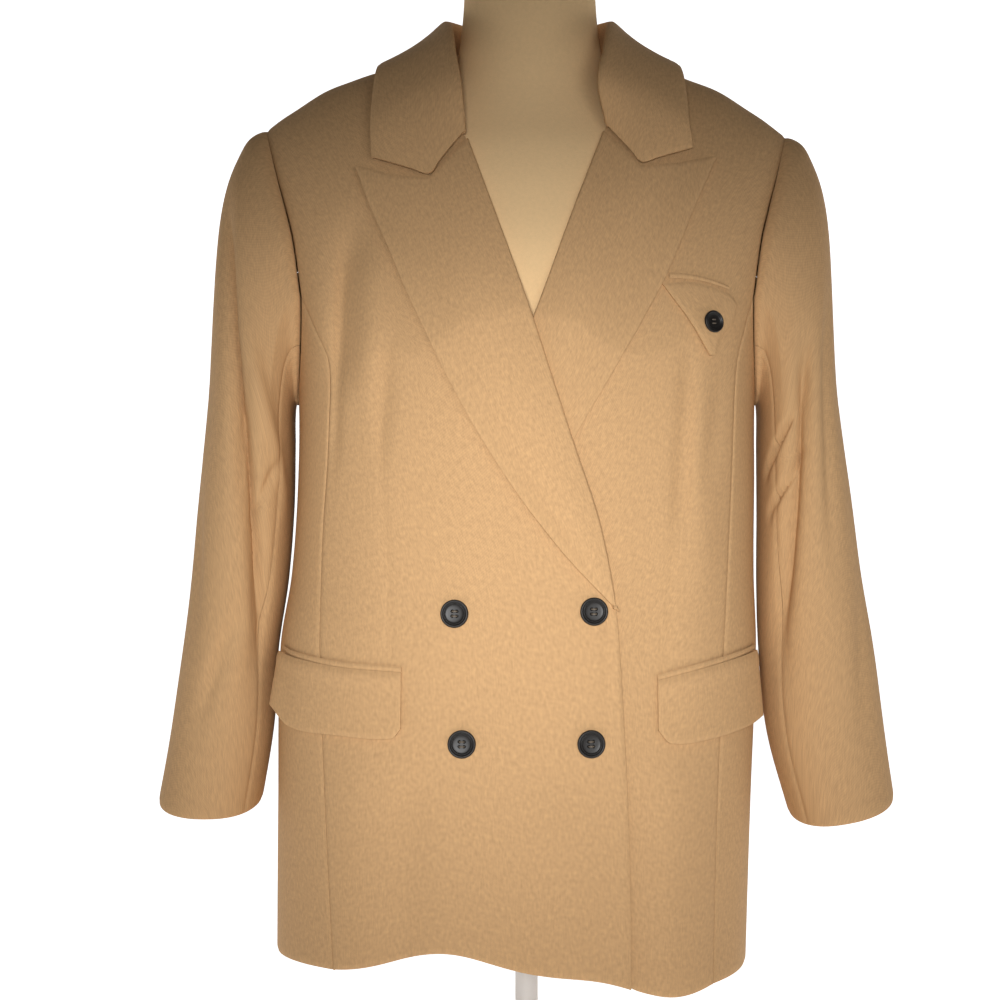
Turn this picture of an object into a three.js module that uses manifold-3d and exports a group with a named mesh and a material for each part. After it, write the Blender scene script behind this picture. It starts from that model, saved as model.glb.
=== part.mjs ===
// A double-breasted blazer on a limbless dress form, in millimetres, +Z up, front facing -Y.
// The blazer is cut as thin panels on one body surface, with a gap at each seam. Lapels, flaps and buttons
// lie on that surface, lifted along its normal. Left and right are the wearer's: the right side is at -X.
import * as THREE from "three";
import { mergeVertices } from "three/addons/utils/BufferGeometryUtils.js";
import Module from "manifold-3d";

const wasm = await Module();
wasm.setup();

// ---- Driving sizes ----
const CLOTH = 2; // wall of the suiting with its fusing
const SEAM = 0.3; // gap at a seam
const RIGHT = -1;
const LEFT = 1;
const FRONT = -1;
const BACK = 1;
const QUARTER = Math.PI / 2;

const SHOULDER_ROUND = { [FRONT]: 270, [BACK]: 240 }; // how far below the ridge the chest and back reach full depth
const ROUND_FLATNESS = 0.3;
const SQUARENESS = { [FRONT]: 2.35, [BACK]: 2.6 };
const RIDGE_SHIFT = -4; // the shoulders sit a little to the wearer's right
const BREAK_HEIGHT = 422; // lowest point of the lapels
const GORGE = { [RIGHT]: { x: -52.5, z: 825 }, [LEFT]: { x: 67, z: 833 } };
const NECK_POINT = 77; // half width of the neckline at the shoulder seam
const BACK_NECK_HEIGHT = 892;
const ARMPIT_HEIGHT = 603;
const SEAM_MEETS_ARMHOLE = 690;
const TIP_X = 231;
const UNDERLAP = 5.6; // how far the under front lies behind the top one
const HEM_LEVEL = 118;

const BODY = [
  { z: 90, half: 207, front: 167, back: 165, shift: -14 },
  { z: 250, half: 209, front: 165, back: 163, shift: -11 },
  { z: 385, half: 210.5, front: 160, back: 157, shift: -7.5 },
  { z: 450, half: 204.5, front: 157, back: 148, shift: -3.5 },
  { z: 530, half: 202, front: 157, back: 142, shift: -0.5 },
  { z: 610, half: 202, front: 161, back: 145, shift: 0 },
  { z: 690, half: 209, front: 160, back: 150, shift: 0 },
  { z: 760, half: 223, front: 150, back: 151, shift: 0 },
  { z: 850, half: 243, front: 136, back: 142, shift: 0 },
  { z: 950, half: 260, front: 120, back: 130, shift: 0 },
];
// Height of the shoulder ridge over x; inside the neckline it only guides the slope of chest and back.
// round is the share of SHOULDER_ROUND there: the padded tip turns over quicker than the neck.
const RIDGE = [
  { x: 0, z: 945, y: 12, round: 1 },
  { x: 45, z: 932, y: 12, round: 1 },
  { x: 77, z: 911, y: 11, round: 1 },
  { x: 105, z: 902, y: 10, round: 0.98 },
  { x: 130, z: 896, y: 9, round: 0.93 },
  { x: 150, z: 889, y: 8, round: 0.86 },
  { x: 175, z: 879, y: 7, round: 0.74 },
  { x: 200, z: 863, y: 6, round: 0.6 },
  { x: 215, z: 853, y: 5, round: 0.52 },
  { x: 232, z: 840, y: 4, round: 0.45 },
  { x: 260, z: 820, y: 4, round: 0.4 },
];
// The armhole leans out from the chest to the shoulder tip.
const ARMHOLE = [
  { z: 690, x: 196 },
  { z: 741, x: 203.5 },
  { z: 770, x: 211 },
  { z: 800, x: 220 },
  { z: 840, x: 231 },
];
// Distance of the lengthwise seams from the middle of the body.
const SEAMS = [
  { z: 90, frontRight: 149, frontLeft: 172, back: 158 },
  { z: 254, frontRight: 161, frontLeft: 173, back: 160 },
  { z: 385, frontRight: 170, frontLeft: 175, back: 160 },
  { z: 480, frontRight: 174, frontLeft: 175, back: 152 },
  { z: 576, frontRight: 170, frontLeft: 177, back: 152 },
  { z: 632, frontRight: 170, frontLeft: 180, back: 160 },
  { z: 660, frontRight: 182, frontLeft: 187, back: 176 },
  { z: 690, frontRight: 196, frontLeft: 196, back: 196 },
];
// The hem dips and rises where the cloth swings in and out.
const HEM_WAVES = [
  { x: -72, rise: 20, width: 58 },
  { x: 126, rise: -21, width: 52 },
];
// Soft folds: a trough has a negative depth. Each runs from its top to its foot.
const FOLDS = [
  { face: FRONT, topX: -150, topZ: 775, footX: -160, footZ: 590, depth: -7, width: 15 },
  { face: FRONT, topX: -128, topZ: 760, footX: -138, footZ: 580, depth: 4, width: 18 },
  { face: FRONT, topX: -150, topZ: 330, footX: -150, footZ: 60, depth: 4, width: 30 },
  { face: FRONT, topX: 118, topZ: 330, footX: 122, footZ: 60, depth: 6, width: 24 },
  { face: FRONT, topX: 150, topZ: 640, footX: 147, footZ: 420, depth: 3, width: 14 },
  { face: BACK, topX: -118, topZ: 740, footX: -112, footZ: 420, depth: -5, width: 18 },
  { face: BACK, topX: 112, topZ: 760, footX: 108, footZ: 450, depth: -6, width: 20 },
  { face: BACK, topX: -60, topZ: 360, footX: -74, footZ: 60, depth: 7, width: 34 },
  { face: BACK, topX: 84, topZ: 380, footX: 92, footZ: 60, depth: 6, width: 30 },
];
const SLEEVES = {
  [RIGHT]: [
    { level: 582, outer: 283, inner: 206.5, front: -70, back: 84, lean: 0.45, drop: 0 },
    { level: 515, outer: 290.5, inner: 207, front: -66, back: 81, lean: 0.2, drop: 0.02 },
    { level: 450, outer: 297, inner: 212, front: -62, back: 77, lean: 0.1, drop: 0.06 },
    { level: 385, outer: 305, inner: 221, front: -59, back: 71, lean: 0.05, drop: 0.12 },
    { level: 320, outer: 315, inner: 224.5, front: -55, back: 63, lean: 0, drop: 0.2 },
    { level: 251, outer: 327, inner: 235, front: -52, back: 55, lean: 0, drop: 0.27 },
  ],
  [LEFT]: [
    { level: 582, outer: 277, inner: 206, front: -70, back: 84, lean: 0.45, drop: 0 },
    { level: 515, outer: 287, inner: 205.5, front: -66, back: 81, lean: 0.25, drop: 0.02 },
    { level: 450, outer: 296, inner: 205.5, front: -62, back: 77, lean: 0.2, drop: 0.06 },
    { level: 385, outer: 307, inner: 207.5, front: -59, back: 71, lean: 0.2, drop: 0.12 },
    { level: 320, outer: 316, inner: 214, front: -55, back: 63, lean: 0.18, drop: 0.2 },
    { level: 247, outer: 326.5, inner: 233, front: -52, back: 55, lean: 0.18, drop: 0.27 },
  ],
};
// Lengthwise creases of the sleeves: turn is 0 on the outer line, 0.25 in front, 0.5 on the inner line.
const SLEEVE_FOLDS = {
  [RIGHT]: [
    { topTurn: 0.1, topZ: 800, footTurn: 0.36, footZ: 400, depth: -9, width: 0.035 },
    { topTurn: 0.9, topZ: 740, footTurn: 0.7, footZ: 380, depth: -7, width: 0.04 },
  ],
  [LEFT]: [
    { topTurn: 0.22, topZ: 690, footTurn: 0.37, footZ: 400, depth: -7, width: 0.035 },
    { topTurn: 0.88, topZ: 760, footTurn: 0.72, footZ: 420, depth: -8, width: 0.04 },
  ],
};
const SLEEVE_SEAMS = { front: 0.36, back: 0.72 };

// ---- Colours ----
const CAMEL = { color: 0xc79c6b, roughness: 0.85, metalness: 0 };
const BUTTON_RESIN = { color: 0x1d1c1b, roughness: 0.35, metalness: 0 };
const FORM_COVER = { color: 0xe2c193, roughness: 0.9, metalness: 0 };
const WHITE_PAINT = { color: 0xf2f1ee, roughness: 0.4, metalness: 0 };

// ---- Small helpers ----
const clamp = (value, low, high) => Math.min(Math.max(value, low), high);
const mix = (a, b, t) => a + (b - a) * t;
const ease = (low, high, value) => {
  const t = clamp((value - low) / (high - low), 0, 1);
  return t * t * (3 - 2 * t);
};
const bell = (distance, width) => Math.exp(-((distance / width) ** 2));

// Reads a column of a table at a place of its key column, along a smooth curve through the rows.
function read(table, key, place, column) {
  const last = table.length - 1;
  const at = clamp(place, table[0][key], table[last][key]);
  let row = 0;
  while (row < last - 1 && at > table[row + 1][key]) row += 1;
  const slope = (i) => {
    const low = table[Math.max(i - 1, 0)];
    const high = table[Math.min(i + 1, last)];
    return (high[column] - low[column]) / (high[key] - low[key]);
  };
  const from = table[row];
  const to = table[row + 1];
  const span = to[key] - from[key];
  const t = (at - from[key]) / span;
  const rise = to[column] - from[column];
  const a = slope(row) * span - rise;
  const b = rise - slope(row + 1) * span;
  return mix(from[column], to[column], t) + t * (1 - t) * (a * (1 - t) + b * t);
}

// ---- The body surface ----
const ridgeHeight = (x) => read(RIDGE, "x", Math.abs(x - RIDGE_SHIFT), "z");
const ridgeY = (x) => read(RIDGE, "x", Math.abs(x - RIDGE_SHIFT), "y");
const roundAt = (face, x) => SHOULDER_ROUND[face] * read(RIDGE, "x", Math.abs(x - RIDGE_SHIFT), "round");
const ring = (z, column) => read(BODY, "z", z, column);

// psi runs down from the ridge: a quarter turn over the shoulder, then straight down the body.
function heightAt(face, x, psi) {
  const fall = psi < QUARTER ? 1 - Math.cos(psi) : 1 + psi - QUARTER;
  return ridgeHeight(x) - roundAt(face, x) * fall;
}

function psiAt(face, x, z) {
  const fall = (ridgeHeight(x) - z) / roundAt(face, x);
  return fall < 1 ? Math.acos(1 - clamp(fall, 0, 1)) : QUARTER + fall - 1;
}

const capAt = (psi) => (psi < QUARTER ? Math.sin(psi) * (1 - ROUND_FLATNESS * Math.cos(psi)) : 1);

function foldLift(face, x, z) {
  let lift = 0;
  for (const fold of FOLDS) {
    if (fold.face !== face) continue;
    const along = clamp((fold.topZ - z) / (fold.topZ - fold.footZ), 0, 1);
    const away = x - mix(fold.topX, fold.footX, along);
    const fade = ease(fold.topZ, fold.topZ - 70, z) * ease(fold.footZ, fold.footZ + 60, z);
    lift += fold.depth * bell(away, fold.width) * fade;
  }
  return lift;
}

function bodyPoint(face, x, psi) {
  const z = heightAt(face, x, psi);
  const power = SQUARENESS[face];
  const out = clamp(Math.abs(x - ring(z, "shift")) / ring(z, "half"), 0, 1);
  const depth = ring(z, face === FRONT ? "front" : "back") * (1 - out ** power) ** (1 / power);
  const y = mix(ridgeY(x), face * (depth + foldLift(face, x, z)), capAt(psi));
  return new THREE.Vector3(x, y, z);
}

// The point of the body surface at x and psi, lifted along the outward normal.
function onBody(face, x, psi, lift) {
  const step = 0.002;
  const reach = 0.4;
  const point = bodyPoint(face, x, psi);
  const across = bodyPoint(face, x + reach, psi).sub(bodyPoint(face, x - reach, psi));
  const down = bodyPoint(face, x, psi + step).sub(bodyPoint(face, x, psi - step));
  const normal = across.cross(down).normalize().multiplyScalar(face === FRONT ? -1 : 1);
  if (normal.y * face < 0 && normal.z < 0.5) normal.negate();
  return { point: point.addScaledVector(normal, lift), normal };
}

const onFront = (x, z, lift) => onBody(FRONT, x, psiAt(FRONT, x, z), lift).point;

// The same surface by its angle round the body: 0 in front, a quarter turn at the side, half a turn behind.
function sidePoint(side, angle, z) {
  const face = angle < QUARTER ? FRONT : BACK;
  const power = SQUARENESS[face];
  const x = ring(z, "shift") + side * ring(z, "half") * Math.sin(angle) ** (2 / power);
  const cosine = Math.abs(Math.cos(angle)) ** (2 / power);
  const depth = ring(z, face === FRONT ? "front" : "back") * cosine;
  const cap = capAt(psiAt(face, x, z));
  return new THREE.Vector3(x, mix(ridgeY(x), face * (depth + foldLift(face, x, z)), cap), z);
}

function onSide(side, angle, z, lift) {
  const turn = 0.01;
  const reach = 1;
  const round = sidePoint(side, angle + turn, z).sub(sidePoint(side, angle - turn, z));
  const up = sidePoint(side, angle, z + reach).sub(sidePoint(side, angle, z - reach));
  const normal = round.cross(up).normalize().multiplyScalar(side);
  if (normal.x * side < 0) normal.negate();
  return { point: sidePoint(side, angle, z).addScaledVector(normal, lift), normal };
}

// The angle at which the ring at z is a given distance from the middle of the body.
function angleAt(face, fromMiddle, z) {
  const sine = clamp(fromMiddle / ring(z, "half"), 0, 1) ** (SQUARENESS[face] / 2);
  return face === FRONT ? Math.asin(sine) : Math.PI - Math.asin(sine);
}

// ---- Making solids ----
// Closes two grids of points, an outer and an inner one, into a wall.
function wall(outer, inner) {
  const rows = outer.length;
  const columns = outer[0].length;
  const positions = [];
  for (const grid of [outer, inner]) {
    for (const row of grid) for (const p of row) positions.push(p.x, p.y, p.z);
  }
  const id = (layer, i, j) => layer * rows * columns + i * columns + j;
  const faces = [];
  const quad = (a, b, c, d) => faces.push(a, b, c, a, c, d);
  for (let i = 0; i < rows - 1; i += 1) {
    for (let j = 0; j < columns - 1; j += 1) {
      quad(id(0, i, j), id(0, i, j + 1), id(0, i + 1, j + 1), id(0, i + 1, j));
      faces.push(id(1, i, j), id(1, i + 1, j + 1), id(1, i, j + 1));
      faces.push(id(1, i, j), id(1, i + 1, j), id(1, i + 1, j + 1));
    }
    const end = columns - 1;
    quad(id(0, i, 0), id(0, i + 1, 0), id(1, i + 1, 0), id(1, i, 0));
    quad(id(0, i + 1, end), id(0, i, end), id(1, i, end), id(1, i + 1, end));
  }
  for (let j = 0; j < columns - 1; j += 1) {
    const end = rows - 1;
    quad(id(0, 0, j + 1), id(0, 0, j), id(1, 0, j), id(1, 0, j + 1));
    quad(id(0, end, j), id(0, end, j + 1), id(1, end, j + 1), id(1, end, j));
  }
  return facingOut(positions, faces);
}

// Turns every face round when the closed surface has a negative volume.
function facingOut(positions, faces) {
  let volume = 0;
  const a = new THREE.Vector3();
  const b = new THREE.Vector3();
  const c = new THREE.Vector3();
  for (let i = 0; i < faces.length; i += 3) {
    a.fromArray(positions, faces[i] * 3);
    b.fromArray(positions, faces[i + 1] * 3);
    c.fromArray(positions, faces[i + 2] * 3);
    volume += a.dot(b.cross(c));
  }
  const order = volume < 0 ? faces.toReversed() : faces;
  const geometry = new THREE.BufferGeometry();
  geometry.setAttribute("position", new THREE.Float32BufferAttribute(positions, 3));
  geometry.setIndex(order);
  return geometry;
}

function solid(name, geometry, finish) {
  const mesh = new THREE.Mesh(geometry, new THREE.MeshStandardMaterial(finish));
  mesh.name = name;
  return mesh;
}

// A wall from a grid of places { point, normal } on a surface: the outer face is lifted, the inner one less.
function clothWall(places, lift, thickness) {
  const raise = (extra) =>
    places.map((row, i) =>
      row.map(({ point, normal }, j) => point.clone().addScaledVector(normal, lift(i, j) + extra)),
    );
  return wall(raise(0), raise(-thickness));
}

// Fills the space between four edges, each a list of [x, psi] pairs, with a grid.
function fillPatch(bottom, top, start, end) {
  const rows = start.length;
  const columns = bottom.length;
  const grid = [];
  for (let i = 0; i < rows; i += 1) {
    const v = i / (rows - 1);
    const row = [];
    for (let j = 0; j < columns; j += 1) {
      const u = j / (columns - 1);
      row.push(
        [0, 1].map((k) => {
          const sides = mix(start[i][k], end[i][k], u) + mix(bottom[j][k], top[j][k], v);
          const foot = mix(bottom[0][k], bottom[columns - 1][k], u);
          const head = mix(top[0][k], top[columns - 1][k], u);
          return sides - mix(foot, head, v);
        }),
      );
    }
    grid.push(row);
  }
  return grid;
}

// Points at even steps along a polyline of [x, z] pairs.
function along(points, steps) {
  const lengths = [0];
  for (let i = 1; i < points.length; i += 1) {
    const step = Math.hypot(points[i][0] - points[i - 1][0], points[i][1] - points[i - 1][1]);
    lengths.push(lengths[i - 1] + step);
  }
  const total = lengths.at(-1);
  return Array.from({ length: steps + 1 }, (_, k) => {
    const goal = (total * k) / steps;
    let i = 1;
    while (i < points.length - 1 && lengths[i] < goal) i += 1;
    const t = (goal - lengths[i - 1]) / (lengths[i] - lengths[i - 1]);
    return [mix(points[i - 1][0], points[i][0], t), mix(points[i - 1][1], points[i][1], t)];
  });
}

// ---- Shared seam lines ----
const SEAM_ROWS = 14; // hem to armhole
const ARM_ROWS = 8; // armhole to shoulder tip
const FRONT_COLUMNS = 9;
const BACK_COLUMNS = 8;
const SIDE_COLUMNS = 8;

const hemHeight = (x) =>
  HEM_LEVEL + HEM_WAVES.reduce((sum, wave) => sum + wave.rise * bell(x - wave.x, wave.width), 0);
const backHemHeight = (x) => HEM_LEVEL + 3 + 4 * Math.sin(x / 55);

function seamX(face, side, z) {
  const column = face === BACK ? "back" : side === RIGHT ? "frontRight" : "frontLeft";
  return ring(z, "shift") + side * read(SEAMS, "z", z, column);
}

const hemAtSeam = (face, side) => {
  const x = seamX(face, side, HEM_LEVEL);
  return face === FRONT ? hemHeight(x) : backHemHeight(x);
};

// The height of row i on a lengthwise seam.
const seamHeight = (face, side, i) => mix(hemAtSeam(face, side), SEAM_MEETS_ARMHOLE, i / SEAM_ROWS);

// A point of the armhole on the front or back, from its foot at 0 to the shoulder tip at 1.
function armholePlace(face, side, t) {
  const xAt = (z) => side * read(ARMHOLE, "z", z, "x");
  const foot = psiAt(face, xAt(SEAM_MEETS_ARMHOLE), SEAM_MEETS_ARMHOLE);
  const psi = foot * (1 - t);
  let z = mix(SEAM_MEETS_ARMHOLE, ridgeHeight(side * TIP_X), t);
  for (let i = 0; i < 12; i += 1) z = heightAt(face, xAt(z), psi);
  return { x: xAt(z), psi };
}

// The far edge of a front or back panel, up its seam and then up its armhole.
function panelSide(face, side) {
  const edge = [];
  for (let i = 0; i < SEAM_ROWS; i += 1) {
    const z = seamHeight(face, side, i);
    const x = seamX(face, side, z) - side * (SEAM / 2);
    edge.push([x, psiAt(face, x, z)]);
  }
  for (let i = 0; i <= ARM_ROWS; i += 1) {
    const { x, psi } = armholePlace(face, side, i / ARM_ROWS);
    edge.push([x - side * (SEAM / 2), psi]);
  }
  return edge;
}

// ---- Fronts ----
// The near edge of a front: up the closing edge, the roll line of the lapel and the side of the neck.
function frontEdge(side) {
  const rows = { edge: 7, roll: 10, neck: 5 };
  const lowEdge = { [RIGHT]: [86, 79], [LEFT]: [-84, -80] }[side];
  const brake = { [RIGHT]: [73.5, BREAK_HEIGHT], [LEFT]: [-82, BREAK_HEIGHT] }[side];
  const bow = { [RIGHT]: 7, [LEFT]: 2 }[side];
  const gorge = GORGE[side];
  const hem = hemHeight(lowEdge[0]) + (side === LEFT ? 4 : 0);
  const edge = [];
  for (let i = 0; i < rows.edge; i += 1) {
    const t = i / rows.edge;
    edge.push([mix(lowEdge[0], brake[0], t ** 2), mix(hem, brake[1], t)]);
  }
  for (let i = 0; i < rows.roll; i += 1) {
    const t = i / rows.roll;
    const x = mix(brake[0], gorge.x, t) - side * bow * Math.sin(Math.PI * t);
    edge.push([x, mix(brake[1], gorge.z, t)]);
  }
  for (let i = 0; i < rows.neck; i += 1) {
    const t = i / rows.neck;
    const neck = side * NECK_POINT;
    edge.push([mix(gorge.x, neck, t * (2 - t)), mix(gorge.z, ridgeHeight(neck), t)]);
  }
  const places = edge.map(([x, z]) => [x, psiAt(FRONT, x, z)]);
  places.push([side * NECK_POINT, 0]);
  return places;
}

// How far a front lies behind the body surface: the under front passes behind the top one.
function frontLift(side, x, z) {
  return side === RIGHT ? 0 : -UNDERLAP * (1 - ease(92, 150, x)) * (1 - ease(680, 790, z));
}

function frontGrid(side) {
  const start = frontEdge(side);
  const end = panelSide(FRONT, side);
  const columns = Array.from({ length: FRONT_COLUMNS + 1 }, (_, j) => j / FRONT_COLUMNS);
  const tuck = (x) => (side === LEFT ? 4 * (1 - ease(70, 95, x)) : 0);
  const bottom = columns.map((u) => {
    const x = mix(start[0][0], end[0][0], u);
    return [x, psiAt(FRONT, x, hemHeight(x) + tuck(x))];
  });
  const top = columns.map((u) => [mix(start.at(-1)[0], end.at(-1)[0], u), 0]);
  bottom[0] = start[0];
  bottom[FRONT_COLUMNS] = end[0];
  return fillPatch(bottom, top, start, end);
}

function front(side, name) {
  const grid = frontGrid(side);
  const places = grid.map((row) => row.map(([x, psi]) => onBody(FRONT, x, psi, 0)));
  const lift = (i, j) => frontLift(side, grid[i][j][0], places[i][j].point.z);
  const geometry = clothWall(places, lift, CLOTH);
  geometry.translate(0, -SEAM / 2, 0);
  return solid(name, geometry, CAMEL);
}

// ---- Backs ----
function back(side, name) {
  const end = panelSide(BACK, side);
  const rows = end.length;
  const middle = side * (SEAM / 2);
  const neckPsi = psiAt(BACK, middle, BACK_NECK_HEIGHT);
  const hemPsi = psiAt(BACK, middle, backHemHeight(middle));
  const start = Array.from({ length: rows }, (_, i) => [middle, mix(hemPsi, neckPsi, i / (rows - 1))]);
  const columns = Array.from({ length: BACK_COLUMNS + 1 }, (_, j) => j / BACK_COLUMNS);
  const bottom = columns.map((u) => {
    const x = mix(start[0][0], end[0][0], u);
    return [x, psiAt(BACK, x, backHemHeight(x))];
  });
  const neck = side * NECK_POINT;
  const neckColumns = 3;
  const top = columns.map((_, j) => {
    const onNeck = j / neckColumns;
    if (onNeck <= 1) return [mix(middle, neck, onNeck), neckPsi * (1 - onNeck ** 3.2)];
    return [mix(neck, end.at(-1)[0], (j - neckColumns) / (BACK_COLUMNS - neckColumns)), 0];
  });
  bottom[0] = start[0];
  bottom[BACK_COLUMNS] = end[0];
  const grid = fillPatch(bottom, top, start, end);
  const places = grid.map((row) => row.map(([x, psi]) => onBody(BACK, x, psi, 0)));
  const geometry = clothWall(places, () => 0, CLOTH);
  geometry.translate(0, SEAM / 2, 0);
  return solid(name, geometry, CAMEL);
}

// ---- Side panels ----
// The lower armhole on the side panel, from the front seam at 0 to the back seam at 1.
function lowArmhole(side, t) {
  const sag = Math.abs(2 * t - 1) ** 2.2;
  const z = mix(ARMPIT_HEIGHT, SEAM_MEETS_ARMHOLE, sag);
  const from = angleAt(FRONT, 196, SEAM_MEETS_ARMHOLE);
  const to = angleAt(BACK, 196, SEAM_MEETS_ARMHOLE);
  return { angle: mix(from, to, t), z };
}

function sidePanel(side, name) {
  const seamAngle = (face, i) => {
    const z = seamHeight(face, side, i);
    const fromMiddle = Math.abs(seamX(face, side, z) - ring(z, "shift")) + SEAM / 2;
    return [angleAt(face, fromMiddle, z), z];
  };
  const rows = Array.from({ length: SEAM_ROWS + 1 }, (_, i) => i);
  const start = rows.map((i) => seamAngle(FRONT, i));
  const end = rows.map((i) => seamAngle(BACK, i));
  const columns = Array.from({ length: SIDE_COLUMNS + 1 }, (_, j) => j / SIDE_COLUMNS);
  const hemFront = start[0];
  const hemBack = end[0];
  const bottom = columns.map((u) => [mix(hemFront[0], hemBack[0], u), mix(hemFront[1], hemBack[1], u)]);
  const top = columns.map((t) => {
    const { angle, z } = lowArmhole(side, t);
    return [angle, z];
  });
  top[0] = start[SEAM_ROWS];
  top[SIDE_COLUMNS] = end[SEAM_ROWS];
  const grid = fillPatch(bottom, top, start, end);
  const places = grid.map((row) => row.map(([angle, z]) => onSide(side, angle, z, 0)));
  return solid(name, clothWall(places, () => 0, CLOTH), CAMEL);
}

// ---- Sleeves ----
// The armhole all round, one place for each line of the sleeve, from the tip down the front and up the back.
function armholeRing(side) {
  const ringPlaces = [];
  for (let i = ARM_ROWS; i >= 0; i -= 1) {
    const { x, psi } = armholePlace(FRONT, side, i / ARM_ROWS);
    ringPlaces.push(onBody(FRONT, x, psi, 0));
  }
  for (let j = 1; j < SIDE_COLUMNS; j += 1) {
    const { angle, z } = lowArmhole(side, j / SIDE_COLUMNS);
    ringPlaces.push(onSide(side, angle, z, 0));
  }
  for (let i = 0; i < ARM_ROWS; i += 1) {
    const { x, psi } = armholePlace(BACK, side, i / ARM_ROWS);
    ringPlaces.push(onBody(BACK, x, psi, 0));
  }
  return ringPlaces;
}

const TURNS = 2 * ARM_ROWS + SIDE_COLUMNS;

// A point of the hanging tube at a level of its table, at a turn round it.
function tubePoint(side, level, turn) {
  const table = SLEEVES[side].toReversed();
  const column = (name) => read(table, "level", level, name);
  const angle = turn * 2 * Math.PI;
  const power = 2 / 2.25;
  const shape = (value) => Math.sign(value) * Math.abs(value) ** power;
  const middle = (column("outer") + column("inner")) / 2;
  const halfX = (column("outer") - column("inner")) / 2;
  const middleY = (column("front") + column("back")) / 2;
  const halfY = (column("back") - column("front")) / 2;
  const x = middle + halfX * shape(Math.cos(angle));
  const y = middleY - halfY * shape(Math.sin(angle));
  const z = level + column("lean") * (x - middle) + column("drop") * (y - middleY);
  return new THREE.Vector3(side * x, y, z);
}

// A point of the sleeve: t runs from the armhole at 0 through the upper arm at 1 to the cuff at 2.
function sleevePoint(side, start, turn, t) {
  const table = SLEEVES[side];
  const top = table[0].level;
  const foot = table.at(-1).level;
  let point;
  if (t >= 1) {
    point = tubePoint(side, mix(top, foot, t - 1), turn);
  } else {
    const end = tubePoint(side, top, turn);
    const below = tubePoint(side, top - 20, turn);
    const upper = 0.5 + 0.5 * Math.cos(turn * 2 * Math.PI);
    const leave = new THREE.Vector3(side * mix(0.9, 0.72, upper), 0, mix(0.3, -0.3, upper));
    leave.y = -0.35 * Math.sin(turn * 2 * Math.PI);
    const span = start.distanceTo(end);
    const first = start.clone().addScaledVector(leave.normalize(), mix(0.2, 0.24, upper) * span);
    const arrive = end.clone().sub(below).normalize();
    const second = end.clone().addScaledVector(arrive, 0.36 * span);
    point = new THREE.CubicBezierCurve3(start, first, second, end).getPoint(t);
  }
  return point;
}

function sleeveCrease(side, turn, z) {
  let lift = 0;
  for (const fold of SLEEVE_FOLDS[side]) {
    const t = clamp((fold.topZ - z) / (fold.topZ - fold.footZ), 0, 1);
    const fade = ease(fold.topZ, fold.topZ - 90, z) * ease(fold.footZ - 60, fold.footZ + 60, z);
    lift += fold.depth * bell(turn - mix(fold.topTurn, fold.footTurn, t), fold.width) * fade;
  }
  return lift;
}

function sleeveGrid(side) {
  const places = armholeRing(side);
  const starts = places.map(({ point }) => point.clone());
  starts.push(starts[0]);
  const columns = Array.from({ length: TURNS + 1 }, (_, k) => k / TURNS);
  const levels = [0, 0.14, 0.34, 0.56, 0.78, 1, 1.12, 1.26, 1.4, 1.55, 1.7, 1.85, 2];
  const raw = levels.map((t) => columns.map((turn, k) => sleevePoint(side, starts[k], turn, t)));
  return levels.map((t, i) =>
    columns.map((turn, k) => {
      const next = raw[i][k === TURNS ? 1 : k + 1];
      const last = raw[i][k === 0 ? TURNS - 1 : k - 1];
      const low = raw[Math.min(i + 1, levels.length - 1)][k];
      const high = raw[Math.max(i - 1, 0)][k];
      const normal = next.clone().sub(last).cross(low.clone().sub(high)).normalize();
      if (side === RIGHT) normal.negate();
      const place = places[k % TURNS];
      const point = raw[i][k].clone();
      if (t === 0) {
        const leave = raw[1][k].clone().sub(raw[0][k]).normalize();
        point.addScaledVector(leave, SEAM + 0.1);
        normal.lerp(place.normal, Math.max(Math.cos(turn * 2 * Math.PI), 0)).normalize();
      }
      point.addScaledVector(normal, t > 0.2 ? sleeveCrease(side, turn, point.z) : 0);
      return { point, normal };
    }),
  );
}

// One part of the sleeve, from one seam round to the other, with the seam gap taken off both edges.
function sleevePart(grid, from, to, name) {
  const count = to - from;
  const rows = grid.map((row) => {
    const part = Array.from({ length: count + 1 }, (_, k) => row[(from + k) % TURNS]);
    const trim = (edge, inside) => {
      const step = inside.point.clone().sub(edge.point).normalize();
      return { point: edge.point.clone().addScaledVector(step, SEAM / 2 + 0.1), normal: edge.normal };
    };
    part[0] = trim(part[0], part[1]);
    part[count] = trim(part[count], part[count - 1]);
    return part;
  });
  return solid(name, clothWall(rows, () => 0, CLOTH), CAMEL);
}

function sleeve(side, word) {
  const grid = sleeveGrid(side);
  const frontSeam = Math.round(SLEEVE_SEAMS.front * TURNS);
  const backSeam = Math.round(SLEEVE_SEAMS.back * TURNS);
  const group = new THREE.Group();
  group.add(sleevePart(grid, frontSeam, backSeam, `${word}_under_sleeve`));
  group.add(sleevePart(grid, backSeam, frontSeam + TURNS, `${word}_upper_sleeve`));
  return group;
}

// ---- Lapels ----
const LAPELS = {
  [RIGHT]: {
    roll: [[72.5, 424], [58, 495], [36, 562], [22, 604.7], [-2.9, 681.5], [-52.5, 824]],
    edge: [[74.5, 422], [22, 479], [-37, 564], [-97.6, 682.6], [-130.6, 757.5], [-147.5, 800.5]],
    top: [[-52.5, 824], [-81.6, 788.6], [-104, 790.5], [-125.6, 795], [-147.5, 800.5]],
    bottom: [[72.5, 424], [74.5, 422]],
    outer: 7.5,
  },
  [LEFT]: {
    roll: [[-5, 640], [3.7, 663], [35, 748], [67, 832]],
    edge: [[28, 547], [36, 562], [112, 695.6], [139, 757.5], [163.8, 811.5]],
    top: [[67, 832], [96.6, 799.7], [130, 804.5], [163.8, 811.5]],
    bottom: [[-5, 640], [28, 547]],
    outer: 3.5,
  },
};
const LAPEL_ROWS = 16;
const LAPEL_COLUMNS = 8;

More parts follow.
